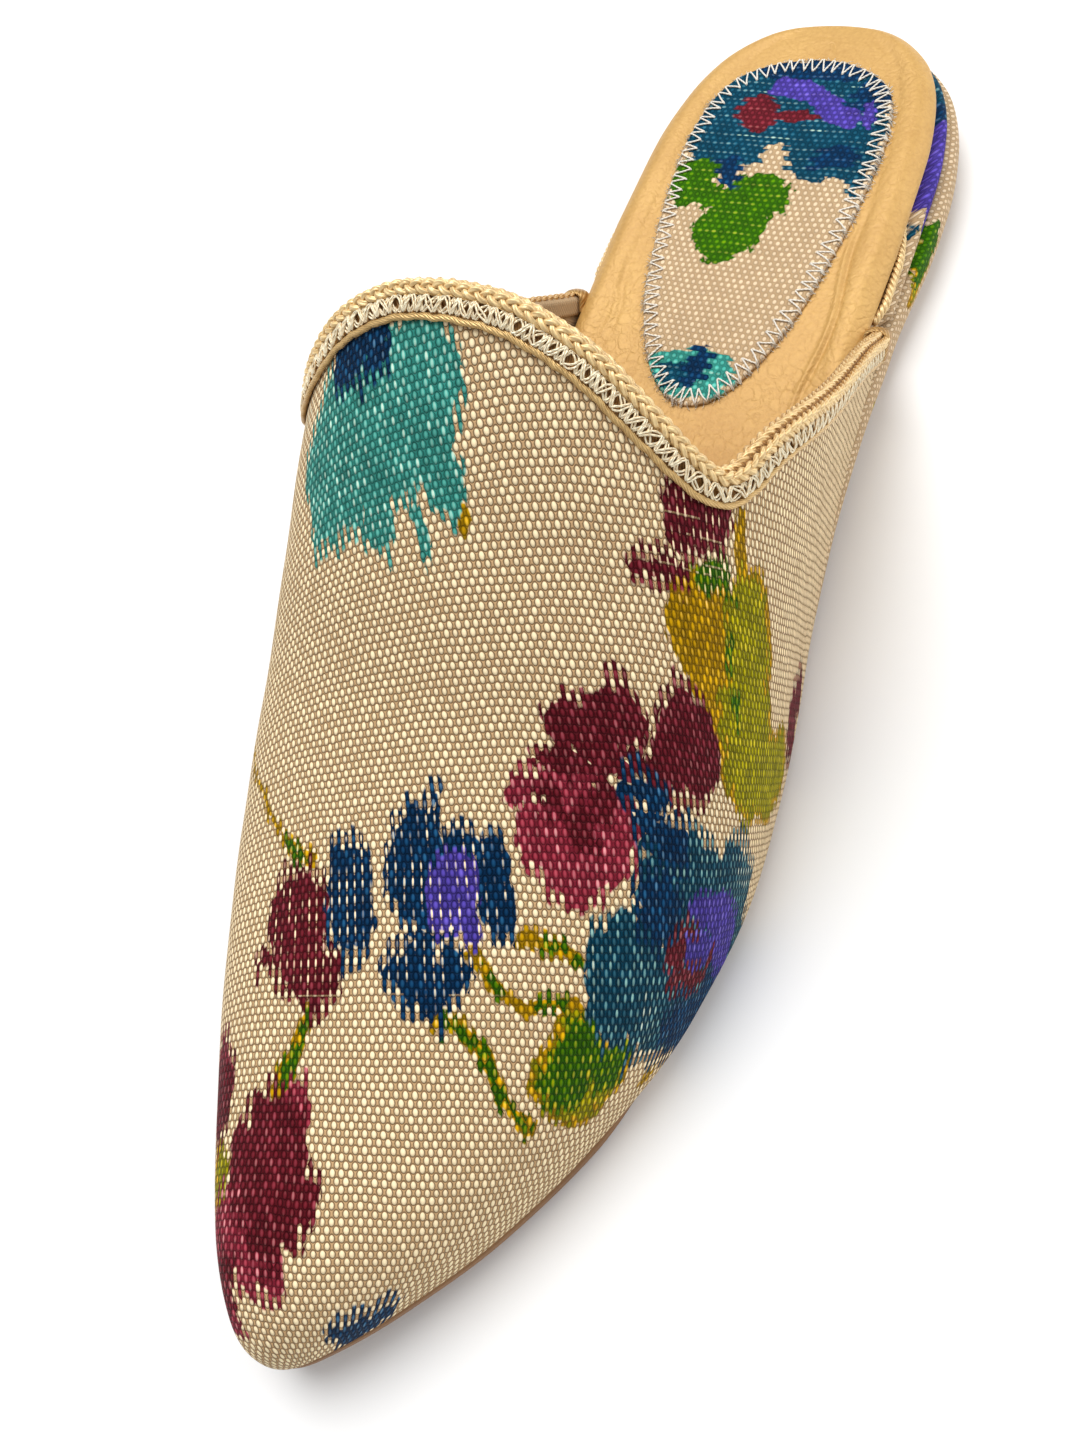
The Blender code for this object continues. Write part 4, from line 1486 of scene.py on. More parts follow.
@dataclass
class Vamp:
    """The hollow cloth upper: printed outside, rim and lining as one closed shell."""

    last: Last
    finishes: Finishes
    rows: int = 190
    columns: int = 240
    tuck: float = 1.3
    rim_rows: int = 3
    rim_bulge: float = 0.6
    toe_thin: float = 16.0
    toe_wall: float = 0.15
    puff: float = 0.22
    calm_over: float = 12.0

    def places(self) -> Tuple[Array, Array]:
        """Places of the grid: rows from collar to toe, closer at the toe, columns from right to left.

        Returns:
            Stations and angles, (rows, columns) each.
        """
        angle = np.linspace(0.0, math.pi, self.columns + 1)
        start = self.last.collar_station((0.5 * math.pi - angle) / (0.5 * math.pi))
        share = np.sin(np.linspace(0.0, 0.5 * math.pi, self.rows + 1))[:, None]
        station = start + (self.last.length - start) * share
        return station, np.broadcast_to(angle, station.shape)

    def outside(self, station: Array, angle: Array) -> Tuple[Array, Array]:
        """Outside points and normals.

        The last's own surface, with a slow ripple of the cloth along its normal, and its lowest
        edge rolled in under itself on a quarter circle.

        Args:
            station: Stations of the grid.
            angle: Angles of the grid.

        Returns:
            Points and outward normals.
        """
        points = self.last.upper_point(station, angle)
        normal = self.last.upper_slopes(np.minimum(station, self.last.length - 0.4), angle)[2]
        ripple = np.sin(0.11 * station + 3.0 * angle) * np.sin(0.07 * station - 5.0 * angle + 1.0)
        calm = ease((self.last.length - station) / self.calm_over) * np.sin(angle)
        points = points + (self.puff * ripple * calm)[..., None] * normal
        height = points[..., 2] - self.last.upper_base(station)
        low = np.clip(self.tuck - height, 0.0, self.tuck)
        inset = self.tuck - np.sqrt(np.maximum(self.tuck ** 2 - low ** 2, 0.0))
        level = unit(normal * (1.0, 1.0, 0.0))
        return points - inset[..., None] * level, normal

    def build(self) -> None:
        """Make the shell: outside from toe to collar, over the rim, and the lining back to the toe."""
        station, angle = self.places()
        outside, normal = self.outside(station, angle)
        full = ease((self.last.length - station) / self.toe_thin)
        wall = self.last.wall * (self.toe_wall + (1.0 - self.toe_wall) * full)
        inside = outside - wall[..., None] * normal
        turn = np.linspace(0.0, math.pi, self.rim_rows + 2)[1:-1, None, None]
        middle, half = 0.5 * (outside[0] + inside[0]), 0.5 * (outside[0] - inside[0])
        back = unit(outside[0] - outside[1]) * np.linalg.norm(half, axis=-1, keepdims=True)
        rim = middle + np.cos(turn) * half + self.rim_bulge * np.sin(turn) * back
        points = np.concatenate([outside[::-1], rim, inside])
        u, v = Drape(self.last).cloth(station, angle)
        u = np.concatenate([u[::-1], np.repeat(u[:1], self.rim_rows, axis=0), u])
        v = np.concatenate([v[::-1], np.repeat(v[:1], self.rim_rows, axis=0), v])
        rows, columns = points.shape[:2]
        faces = grid_faces(rows, columns)
        count = self.rows + 1
        outer = np.arange(count) * columns
        inner = (rows - 1 - np.arange(count)) * columns
        strips = [np.stack([outer[:-1] + c, outer[1:] + c, inner[1:] + c, inner[:-1] + c], axis=1)
                  for c in (0, columns - 1)]
        line = np.arange(count - 1, count + self.rim_rows + 1)
        ends = [np.stack([line[:1] * columns + c, line[1:2] * columns + c, line[-2:-1] * columns + c,
                          line[-1:] * columns + c], axis=1) for c in (0, columns - 1)]
        slots = (np.arange(len(faces)) // (columns - 1) >= self.rows + 1).astype(int)
        strip_slots = np.zeros(sum(len(s) for s in strips + ends), int)
        shell = Surface(points.reshape(-1, 3), np.concatenate([faces] + strips + ends),
                        np.stack([u, v], axis=-1).reshape(-1, 2), np.concatenate([slots, strip_slots]),
                        VAMP_PRINT.fields(u, v))
        vamp = shell.piece("vamp", [self.finishes.cloth, self.finishes.lining], "upper")
        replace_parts(vamp, "upper")


@dataclass(frozen=True)
class CollarPath:
    """Coordinates along the collar: distance along its edge, distance in from it, lift off the cloth."""

    last: Last
    reach: float = 0.985
    samples: int = 900
    smooth: int = 31
    lowest: float = math.radians(0.6)

    def table(self) -> Tuple[Array, Array, Array, Array]:
        """Samples of the collar's edge, and the way over the cloth at right angles to it.

        The step inwards solves the surface's metric for the inward direction, smoothed along the edge.

        Returns:
            Distance along, station, angle, and the station and angle gone per millimetre inwards.
        """
        around = np.linspace(-self.reach, self.reach, self.samples + 1)
        angle = 0.5 * math.pi * (1.0 - around)
        station = self.last.collar_station(around)
        along, across, normal = self.last.upper_slopes(station, angle)
        edge = self.last.upper_point(station, angle)
        heading = unit(np.gradient(edge, axis=0))
        inward = np.cross(heading, normal)
        inward *= np.sign(np.sum(inward * along, axis=1, keepdims=True))
        metric = np.stack([np.stack([np.sum(along * along, 1), np.sum(along * across, 1)], 1),
                           np.stack([np.sum(along * across, 1), np.sum(across * across, 1)], 1)], 1)
        wanted = np.stack([np.sum(inward * along, 1), np.sum(inward * across, 1)], 1)
        step = np.linalg.solve(metric, wanted[..., None])[..., 0]
        window = np.hanning(self.smooth)
        window = window / window.sum()
        spare = self.smooth // 2
        padded = np.pad(step, ((spare, spare), (0, 0)), mode="edge")
        step = np.stack([np.convolve(padded[:, k], window, mode="valid") for k in (0, 1)], axis=1)
        return travel(edge), station, angle, step

    def length(self) -> float:
        """Length of the collar's edge."""
        return float(self.table()[0][-1])

    def place(self, along: Array, inward: Number, lift: Number) -> Tuple[Array, Array]:
        """Points and normals at collar coordinates.

        Args:
            along: Distance along the edge.
            inward: Distance in from the edge over the cloth.
            lift: Distance off the cloth.

        Returns:
            Points and outward normals.
        """
        gone, station, angle, step = self.table()
        along, inward, lift = np.broadcast_arrays(along, inward, lift)
        s = np.interp(along, gone, station) + inward * np.interp(along, gone, step[:, 0])
        a = np.interp(along, gone, angle) + inward * np.interp(along, gone, step[:, 1])
        a = np.clip(a, self.lowest, math.pi - self.lowest)
        normal = self.last.upper_slopes(s, a)[2]
        return self.last.upper_point(s, a) + lift[..., None] * normal, normal


@dataclass
class CollarBraid:
    """Gold gimp braid round the collar: backing tape, plaited edge, crossed threads and a piping."""

    last: Last
    finishes: Finishes
    path: CollarPath
    plait_pitch: float = 5.4
    plait_middle: float = 0.2
    plait_swing: float = 0.62
    plait_radius: float = 0.42
    plait_lift: float = 0.72
    plait_rise: float = 0.3
    plait_step: float = 0.3
    rim_middle: float = -0.72
    rim_lift: float = -0.95
    rim_swing: float = 0.62
    rim_rise: float = 0.24
    yarn_flat: float = 0.85
    cross_pitch: float = 2.6
    cross_from: float = 1.15
    cross_to: float = 3.25
    cross_radius: float = 0.16
    cross_lift: float = 0.7
    cross_over: float = 0.22
    cross_step: float = 0.16
    cross_start: float = 0.3
    # Each crossing thread: its share of a pitch ahead, its level over or under the others
    cross_threads: Tuple[Tuple[float, float], ...] = ((0.0, 0.1), (0.14, 0.14), (0.5, -0.14), (0.64, -0.1))
    piping_in: float = 3.75
    piping_lift: float = 0.45
    piping_radius: float = 0.48
    piping_step: float = 0.5
    thin_in: float = 0.1
    thin_lift: float = 0.6
    thin_radius: float = 0.26
    tape_reach: float = 3.6
    tape_girth: float = 16.0
    tape_top: float = 0.35
    tape_low: float = 0.05
    tape_steps: int = 500
    tape_rows: int = 13
    hem_reach: float = 2.8
    hem_gap: float = 0.15
    hem_thick: float = 0.35
    hem_rows: int = 6
    fold_half: float = 1.7
    fold_thin: float = 0.3
    fold_reach: float = 3.6
    fold_hem: float = 2.6
    fold_gap: float = 0.2
    fold_bulge: float = 1.1
    fold_lift: float = 0.95
    fold_under: float = 1.0
    fold_rows: int = 12
    fold_hem_rows: int = 8
    fold_probe: float = 0.5

    def build(self) -> None:
        """Make the parts of the braid."""
        self.build_tape()
        self.build_plait()
        self.build_crossings()
        self.build_piping()
        self.build_folds()

    def build_tape(self) -> None:
        """Backing tape: over the cloth from the piping to the edge, over the edge and down the lining."""
        path, length = self.path, self.path.length()
        along = np.linspace(0.0, length, self.tape_steps)[:, None]
        reach, down = self.tape_reach, self.hem_reach
        wide, hem = self.tape_rows, self.hem_rows
        under = -(self.last.wall + self.hem_gap)
        # The pairs in brackets turn the tape's outer and inner face over the collar's edge
        inward = np.concatenate([
            np.linspace(reach, 0.0, wide), (-0.75, -0.75), np.linspace(0.0, down, hem),
            np.linspace(down, 0.0, hem), (-0.25, -0.25), np.linspace(0.0, reach, wide),
        ])
        lift = np.concatenate([
            np.full(wide, self.tape_top), (-0.2, -1.6), np.full(hem, under - self.hem_thick),
            np.full(hem, under), (-1.4, -0.3), np.full(wide, self.tape_low),
        ])
        inward, lift = np.append(inward, inward[0])[None, :], np.append(lift, lift[0])[None, :]
        points, _ = path.place(along, inward, lift)
        rows, columns = points.shape[:2]
        round_tape = np.broadcast_to(np.linspace(0.0, self.tape_girth, columns), (rows, columns))
        thread = np.stack([round_tape, np.broadcast_to(along, (rows, columns))], axis=-1)
        ends = np.stack([points[0].mean(axis=0), points[-1].mean(axis=0)])
        closed = np.concatenate([np.broadcast_to(ends[0], (1, columns, 3)), points,
                                 np.broadcast_to(ends[1], (1, columns, 3))])
        thread = np.concatenate([thread[:1], thread, thread[-1:]])
        face = np.arange(columns - 1)
        inside = np.tile((face >= wide + 1) & (face < wide + 2 + 2 * hem), rows + 1).astype(int)
        tape = Surface(closed.reshape(-1, 3), grid_faces(rows + 2, columns), thread.reshape(-1, 2), inside)
        shape = tape.piece("braid_tape", [self.finishes.tape, self.finishes.lining], "collar_braid")
        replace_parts(shape, "collar_braid")

    def build_plait(self) -> None:
        """Three-strand plait: strand k swings sideways as sin(p + 2 pi k / 3) and up twice as fast."""
        path, length = self.path, self.path.length()
        along = np.linspace(0.0, length, int(length / self.plait_step))
        phase = FULL_TURN * (along[None, :] / self.plait_pitch + np.arange(3)[:, None] / 3.0)
        swing, rise = np.sin(phase), np.sin(2.0 * phase)
        inward = self.plait_middle + self.plait_swing * swing
        lift = self.plait_lift + self.plait_rise * rise
        rim_in = self.rim_middle - self.rim_rise * rise
        rim_lift = self.rim_lift + self.rim_swing * swing
        points, ups = path.place(along[None, :], np.concatenate([inward, rim_in]),
                                 np.concatenate([lift, rim_lift]))
        strands = tubes(points, ups, self.plait_radius, sides=12, flat=self.yarn_flat, lobes=4,
                        lobe_depth=0.12, lobe_pitch=3.0)
        strands.piece("braid_plait", [self.finishes.plait], "collar_braid")

    def build_crossings(self) -> None:
        """Two pairs of shiny threads that zig-zag across the tape, over and under each other."""
        path, length = self.path, self.path.length()
        along = np.linspace(self.cross_start, length - self.cross_start, int(length / self.cross_step))
        middle, swing = 0.5 * (self.cross_from + self.cross_to), 0.5 * (self.cross_to - self.cross_from)
        offsets, level = np.array(self.cross_threads).T[..., None]
        uneven = 0.10 * np.sin(along * 0.9) + 0.08 * np.sin(along * 2.3 + 1.0)
        wave = triangle_wave(along[None, :] / self.cross_pitch + offsets + uneven)
        wave = np.tanh(2.2 * wave) / np.tanh(2.2) * 0.35 + wave * 0.65
        lift = self.cross_lift + self.cross_over * np.cos(0.5 * math.pi * wave) + level
        lean = 0.5 * np.sin(along * 0.35)
        points, ups = path.place(along[None, :] + lean * wave * 0.6, middle + swing * wave, lift)
        threads = tubes(points, ups, self.cross_radius, sides=6)
        threads.piece("braid_crossings", [self.finishes.silk], "collar_braid")

    def build_piping(self) -> None:
        """Smooth piping along the lower edge of the braid, and a thinner one under the plait."""
        path, length = self.path, self.path.length()
        along = np.linspace(0.0, length, int(length / self.piping_step))
        wobble = 0.07 * np.sin(along * 1.3) + 0.05 * np.sin(along * 2.9)
        low, low_up = path.place(along, self.piping_in + wobble, self.piping_lift)
        high, high_up = path.place(along, self.cross_from - self.thin_in + wobble, self.thin_lift)
        radius = np.array([self.piping_radius, self.thin_radius])[:, None]
        piping = tubes(np.stack([low, high]), np.stack([low_up, high_up]), radius, sides=12,
                       flat=self.yarn_flat)
        piping.piece("braid_piping", [self.finishes.ribbon], "collar_braid")

    def build_folds(self) -> None:
        """Tape folded over each end of the collar, from the outside over the rim to the inside."""
        path, length = self.path, self.path.length()
        gap = self.fold_gap
        turn = np.linspace(0.0, math.pi, self.fold_rows)
        inward = np.concatenate([
            np.linspace(self.fold_reach, gap, self.fold_rows), -gap - self.fold_bulge * np.sin(turn),
            np.linspace(gap, self.fold_hem, self.fold_hem_rows),
        ])[None, :]
        outer, inner = self.fold_lift, -(self.last.wall + self.fold_under)
        lift = np.concatenate([
            np.full(self.fold_rows, outer), outer + (inner - outer) * 0.5 * (1.0 - np.cos(turn)),
            np.full(self.fold_hem_rows, inner),
        ])[None, :]
        places = np.array([self.fold_half + gap, length - self.fold_half - gap])[:, None]
        points, _ = path.place(places, inward, lift)
        ahead, _ = path.place(places + self.fold_probe, inward, lift)
        behind, _ = path.place(places - self.fold_probe, inward, lift)
        ups = unit(np.cross(unit(np.gradient(points, axis=1)), unit(ahead - behind)))
        folds = tubes(points, ups, self.fold_half, sides=16, flat=self.fold_thin)
        folds.piece("braid_folds", [self.finishes.ribbon], "collar_braid")


@dataclass
class Footbed:
    """The padded leather insole with its sewn cloth patch."""

    last: Last
    finishes: Finishes
    # Edges from bottom to top: inset, share of the height
    insole_edge: EdgeTable = (
        (2.2, 0.0), (0.9, 0.12), (0.15, 0.35), (0.0, 0.47), (0.5, 0.70), (1.7, 0.87), (3.6, 0.965),
        (6.0, 1.0),
    )
    patch_edge: EdgeTable = ((0.0, 0.0), (0.0, 0.6), (0.5, 1.0))
    patch_thickness: float = 0.8
    patch_gap: float = 0.1
    patch_ripple: float = 0.12
    dish: float = 0.5
    draw_in: float = 0.55
    drawn_from: float = 40.0
    drawn_over: float = 25.0
    roll: float = 0.7
    roll_wide: float = 7.5
    stitch_pitch: float = 2.25
    stitch_out: float = 0.25
    stitch_in: float = 3.1
    stitch_radius: float = 0.17
    stitch_step: float = 0.09
    stitch_sink: float = 0.35
    stitch_sinks_from: float = 0.86
    fray_seed: int = 7
    fray_count: int = 420
    fray_steps: int = 6
    fray_radius: float = 0.055
    fray_root: float = 0.5
    # Folds: x and station of the start, x and station of the end, height, half width
    folds: Tuple[Tuple[float, float, float, float, float, float], ...] = (
        (20.6, 44.0, 20.6, 92.0, 0.5, 0.45), (23.5, 70.0, 21.0, 98.0, 0.1, 0.5),
        (14.0, 92.0, 21.5, 106.0, 0.2, 0.7), (-22.0, 58.0, -21.0, 84.0, 0.2, 0.6),
        (-4.0, 4.0, 3.0, 9.0, 0.15, 0.5), (6.0, 100.0, 19.0, 111.0, 0.2, 0.8),
        (-6.0, 97.0, 8.0, 105.0, 0.15, 0.8),
    )
    fold_sway: float = 0.9
    fold_waves: float = 9.0
    fold_ends: float = 0.36
    groove_share: float = 0.8
    groove_off: float = 1.7

    def relief(self, x: Array, station: Array) -> Array:
        """Height of the padding's dish and of the leather's folds.

        The dish sinks with the square of the distance from the edge, and a roll of parabolic
        section runs along the edge. Each fold is a ridge of bell-shaped section along a line, with
        a matching groove beside it, fading at its ends.

        Args:
            x: Sideways places.
            station: Stations.

        Returns:
            Heights to add to the flat top.
        """
        half = np.maximum(self.last.half_width(station), 1.0)
        height = -self.dish * np.clip(1.0 - (x / half) ** 2, 0.0, 1.0)
        from_edge = (half - np.abs(x)) / self.roll_wide
        height = height + self.roll * np.clip(1.0 - (2.0 * from_edge - 1.0) ** 2, 0.0, 1.0)
        for x0, s0, x1, s1, tall, wide in self.folds:
            dx, ds = x1 - x0, s1 - s0
            long = math.hypot(dx, ds)
            t = ((x - x0) * dx + (station - s0) * ds) / long ** 2
            sway = self.fold_sway * np.sin(t * self.fold_waves)
            off = ((x - x0) * ds - (station - s0) * dx) / long + sway
            ends = np.exp(-((t - 0.5) / self.fold_ends) ** 4)
            groove = self.groove_share * np.exp(-((off - self.groove_off * wide) / wide) ** 2)
            height = height + tall * ends * (np.exp(-(off / wide) ** 2) - groove)
        return height

    def margin(self, station: Array) -> Array:
        """The insole's margin, drawn in a little round the heel."""
        drawn = 1.0 - ease((station - self.drawn_from) / self.drawn_over)
        return self.last.insole_margin(station) - self.draw_in * drawn

    def insole_height(self, x: Array, station: Array) -> Array:
        """Top of the leather."""
        return self.last.insole_top(station) + self.relief(x, station)

    def build(self) -> None:
        """Make the insole, and the patch with its stitches and its frayed fibres."""
        self.build_insole()
        patch, edging = self.build_patch(), [self.build_stitches(), self.build_fray()]
        ring = self.patch_ring(0.0) * MM

    def build_insole(self) -> None:
        """Leather over padding, with a rolled edge, a dished top and folds along the waist."""
        last = self.last
        layer = Layer(last, last.half_width, (0.0, last.length), self.margin, last.insole_bottom,
                      last.insole_top, self.insole_edge, steps=260, edge_rows=22, cap_rows=60)
        x, station, z, length = layer.rings()
        low, high = last.insole_bottom(station), last.insole_top(station)
        share = np.clip((z - low) / (high - low), 0.0, 1.0)
        ease_in = ease((share - 0.75) / 0.25)
        ease_in[:layer.cap_rows + 2] = 0.0
        z = z + ease_in * self.relief(x, station)
        surface = layer.surface(x, station, z, np.stack([length, z], axis=-1))
        insole = surface.piece("insole_leather", [self.finishes.leather], "insole")
        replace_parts(insole, "insole")

    def patch_layer(self) -> Layer:
        """The patch's layer on the leather."""
        last = self.last
        return Layer(last, last.patch_half_width, (float(PATCH_TABLE[0, 0]), float(PATCH_TABLE[-1, 0])),
                     np.zeros_like, lambda s: last.insole_top(s) + self.patch_gap,
                     lambda s: last.insole_top(s) + self.patch_gap + self.patch_thickness,
                     self.patch_edge, steps=170, edge_rows=8, cap_rows=40)

    def build_patch(self) -> bpy.types.Object:
        """Oval of the vamp's cloth on the leather's dish and folds, with a rounded edge and a slight ripple.

        Returns:
            The piece.
        """
        layer = self.patch_layer()
        x, station, z, _ = layer.rings()
        ripple = self.patch_ripple * np.sin(0.35 * x + 0.2 * station) * np.sin(0.3 * station)
        z = z + self.relief(x, station) + ripple
        surface = layer.surface(x, station, z, np.stack([x, station], axis=-1))
        closing = np.concatenate([x, x[:, :1]], axis=1), np.concatenate([station, station[:, :1]], axis=1)
        surface.thread = np.stack(closing, axis=-1).reshape(-1, 2)
        surface.fields = PATCH_PRINT.fields(*closing)
        patch = surface.piece("heel_patch_cloth", [self.finishes.soft_cloth], "heel_patch")
        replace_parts(patch, "heel_patch")
        return patch

    def patch_ring(self, inset: float) -> Array:
        """Closed outline of the patch at an inset, points (x, station), from the back."""
        side = self.patch_layer().side(inset)
        return np.vstack([side, side[-2::-1] * (-1.0, 1.0)])

    def on_patch(self, along: Array, inset: Array) -> Tuple[Array, Array, Array]:
        """Places by distance along the patch's outline and inset from it.

        Args:
            along: Distance along the outline from the back.
            inset: Distance inside it, less than 0 outside.

        Returns:
            x, station and the height of the cloth or leather there.
        """
        ring = self.patch_ring(0.0)
        gone = travel(ring)
        tangent = unit(np.gradient(ring, axis=0))
        inward = np.stack([-tangent[:, 1], tangent[:, 0]], axis=1)
        x = np.interp(along, gone, ring[:, 0]) + inset * np.interp(along, gone, inward[:, 0])
        station = np.interp(along, gone, ring[:, 1]) + inset * np.interp(along, gone, inward[:, 1])
        cloth = ease((inset + 0.15) / 0.5) * (self.patch_thickness + self.patch_gap)
        return x, station, self.insole_height(x, station) + cloth

    def build_stitches(self) -> bpy.types.Object:
        """White zig-zag stitch over the patch's edge: a triangle wave of the inset.

        Returns:
            The piece.
        """
        length = float(travel(self.patch_ring(0.0))[-1])
        along = np.linspace(0.0, length, int(length / self.stitch_step))
        count = round(length / self.stitch_pitch)
        uneven = 0.16 * np.sin(along * 0.31) + 0.1 * np.sin(along * 1.7)
        wave = triangle_wave(along / length * count + uneven)
        wide = 1.0 + 0.12 * np.sin(along * 0.47)
        middle, swing = 0.5 * (self.stitch_in - self.stitch_out), 0.5 * (self.stitch_in + self.stitch_out)
        x, station, z = self.on_patch(along, middle + swing * wave * wide)
        first = self.stitch_sinks_from
        sink = self.stitch_sink * np.clip((np.abs(wave) - first) / (1.0 - first), 0.0, 1.0)
        path = self.last.to_space(x, station, z + self.stitch_radius * 1.1 - sink)
        up = np.broadcast_to(UP, path.shape)
        stitches = tubes(path[None], up[None], self.stitch_radius, sides=6)
        return stitches.piece("patch_stitches", [self.finishes.thread], "heel_patch")

    def build_fray(self) -> bpy.types.Object:
        """Short curled fibres standing out of the patch's cut edge.

        Returns:
            The piece.
        """
        chance = np.random.default_rng(self.fray_seed)
        length = float(travel(self.patch_ring(0.0))[-1])
        each = (self.fray_count, 1)
        start = chance.uniform(0.0, length, each)
        t = np.linspace(0.0, 1.0, self.fray_steps)[None, :]
        reach = chance.uniform(0.3, 1.2, each)
        lean = chance.uniform(-1.3, 1.3, each)
        curl = chance.uniform(-0.6, 0.6, each)
        along = np.clip(start + reach * (lean * t + curl * t * t), 0.0, length)
        inset = self.fray_root - (reach + self.fray_root) * t
        x, station, z = self.on_patch(along, inset)
        rise = chance.uniform(0.1, 0.7, each) * np.sin(math.pi * t * 0.8)
        path = self.last.to_space(x, station, z + rise + 0.06)
        fibres = tubes(path, np.broadcast_to(UP, path.shape), self.fray_radius, sides=3)
        return fibres.piece("patch_fray", [self.finishes.thread], "heel_patch")


@dataclass
class Heel:
    """The covered wedge and band under the heel, with the cord between band and insole."""

    last: Last
    finishes: Finishes
    # Edges from bottom to top: inset, share of the height
    wedge_edge: EdgeTable = ((1.0, 0.0), (0.3, 0.2), (0.0, 0.5), (0.1, 0.8), (0.6, 1.0))
    band_edge: EdgeTable = ((0.6, 0.0), (0.0, 0.3), (0.0, 0.5), (0.7, 0.8), (2.2, 1.0))
    cord_inset: float = 1.2
    cord_lift: float = 0.65
    ply_radius: float = 0.46
    ply_turn: float = 0.42
    ply_pitch: float = 3.4
    cord_hide: float = 3.0
    cord_shows_from: float = 38.0
    cord_shows_to: float = 54.0
    cord_past: float = 4.0
    cord_step: float = 0.35
    plies: int = 3
    wedge_swell: float = 1.2
    band_swell: float = -0.2
    swell_to: float = 40.0
    swell_fade: float = 24.0
    bias: float = math.radians(34.0)

    def build(self) -> None:
        """Make wedge, band and cord."""
        last = self.last
        whole = (0.0, last.length)
        wedge = Layer(last, last.half_width, whole,
                      lambda s: last.wedge_margin(s) + self.full(s, self.wedge_swell),
                      last.wedge_bottom, last.wedge_top, self.wedge_edge, front=last.wedge_end, steps=220)
        band = Layer(last, last.half_width, whole,
                     lambda s: last.band_margin(s) + self.full(s, self.band_swell),
                     last.band_bottom, last.band_top, self.band_edge, front=last.band_end, steps=220)
        self.cover(wedge, "heel_wedge", WEDGE_PRINT, 0.0)
        self.cover(band, "heel_band", BAND_PRINT, self.bias)
        self.build_cord()

    def full(self, station: Array, swell: float) -> Array:
        """Swell of a cover round the heel, fading where the upper begins."""
        return swell * (1.0 - ease((station - self.swell_to) / self.swell_fade))

    def cover(self, layer: Layer, node: str, pattern: Print, slant: float) -> None:
        """Cloth over one layer.

        Args:
            layer: The layer.
            node: The solid that it stands for.
            pattern: The print, by distance along the outline and height.
            slant: How far the cloth is turned from upright.
        """
        x, station, z, length = layer.rings()
        rim = x.shape[0] - 1 - layer.cap_rows
        over = np.hypot(x - x[rim], station - station[rim])
        over[:rim] = 0.0
        u = length * math.cos(slant) - (z + over) * math.sin(slant)
        v = length * math.sin(slant) + (z + over) * math.cos(slant)
        surface = layer.surface(x, station, z, np.stack([u, v], axis=-1))
        closing = [np.concatenate([part, part[:, -1:]], axis=1) for part in (length, z)]
        surface.fields = pattern.fields(*closing)
        piece = surface.piece(f"{node}_cover", [self.finishes.soft_cloth], node)
        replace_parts(piece, node)

    def build_cord(self) -> None:
        """Three-ply cord along the band's top edge: each ply is a helix round the cord's line.

        The line is drawn in under the insole round the back of the heel, and runs on a little past
        the band's end to meet the braid.
        """
        last = self.last
        band = Layer(last, last.half_width, (0.0, last.length), last.band_margin, last.band_bottom,
                     last.band_top, self.band_edge, front=last.notch_from + self.cord_inset, steps=400)
        side = band.side(self.cord_inset)
        shown = ease((side[:, 1] - self.cord_shows_from) / (self.cord_shows_to - self.cord_shows_from))
        heading = unit(np.gradient(side, axis=0))
        inward = np.stack([-heading[:, 1], heading[:, 0]], axis=1)
        side = side + inward * (self.cord_hide * (1.0 - shown))[:, None]
        side[0, 0] = 0.0
        side = np.vstack([side, side[-1] + heading[-1] * self.cord_past])
        ring = np.vstack([side[::-1], side[1:] * (-1.0, 1.0)])
        line = last.to_space(ring[:, 0], ring[:, 1], last.band_top(ring[:, 1]) + self.cord_lift)
        gone = travel(line)
        wanted = np.linspace(0.0, gone[-1], int(gone[-1] / self.cord_step))
        line = np.stack([np.interp(wanted, gone, line[:, k]) for k in range(3)], axis=1)
        tangent = unit(np.gradient(line, axis=0))
        across = unit(np.cross(tangent, UP))
        phase = FULL_TURN * (wanted / self.ply_pitch + np.arange(self.plies)[:, None] / self.plies)
        offset = np.cos(phase)[..., None] * across + np.sin(phase)[..., None] * np.cross(across, tangent)
        plies = tubes(line + self.ply_turn * offset, offset, self.ply_radius, sides=8)
        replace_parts(plies.piece("heel_cord_plies", [self.finishes.plait], "heel_cord"), "heel_cord")


@dataclass
class Sole:
    """The leather outsole."""

    last: Last
    finishes: Finishes
    recess: float = 1.5
    toe_recess: float = 0.95
    let_out_from: float = 110.0
    let_out_over: float = 60.0
    edge: EdgeTable = ((0.5, 0.0), (0.0, 0.25), (0.0, 0.8), (0.4, 1.0))

    def margin(self, station: Array) -> Array:
        """The sole's margin, drawn in under the heel and let out towards the toe."""
        share = ease((station - self.let_out_from) / self.let_out_over)
        return self.last.sole_margin(station) - self.recess + (self.recess - self.toe_recess) * share

    def build(self) -> None:
        """Make the outsole with its rounded edge."""
        last = self.last
        layer = Layer(last, last.half_width, (0.0, last.length), self.margin,
                      last.sole_bottom, last.sole_top, self.edge, steps=200, edge_rows=12, cap_rows=6)
        x, station, z, length = layer.rings()
        surface = layer.surface(x, station, z, np.stack([length, z], axis=-1))
        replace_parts(surface.piece("outsole_leather", [self.finishes.sole], "outsole"), "outsole")


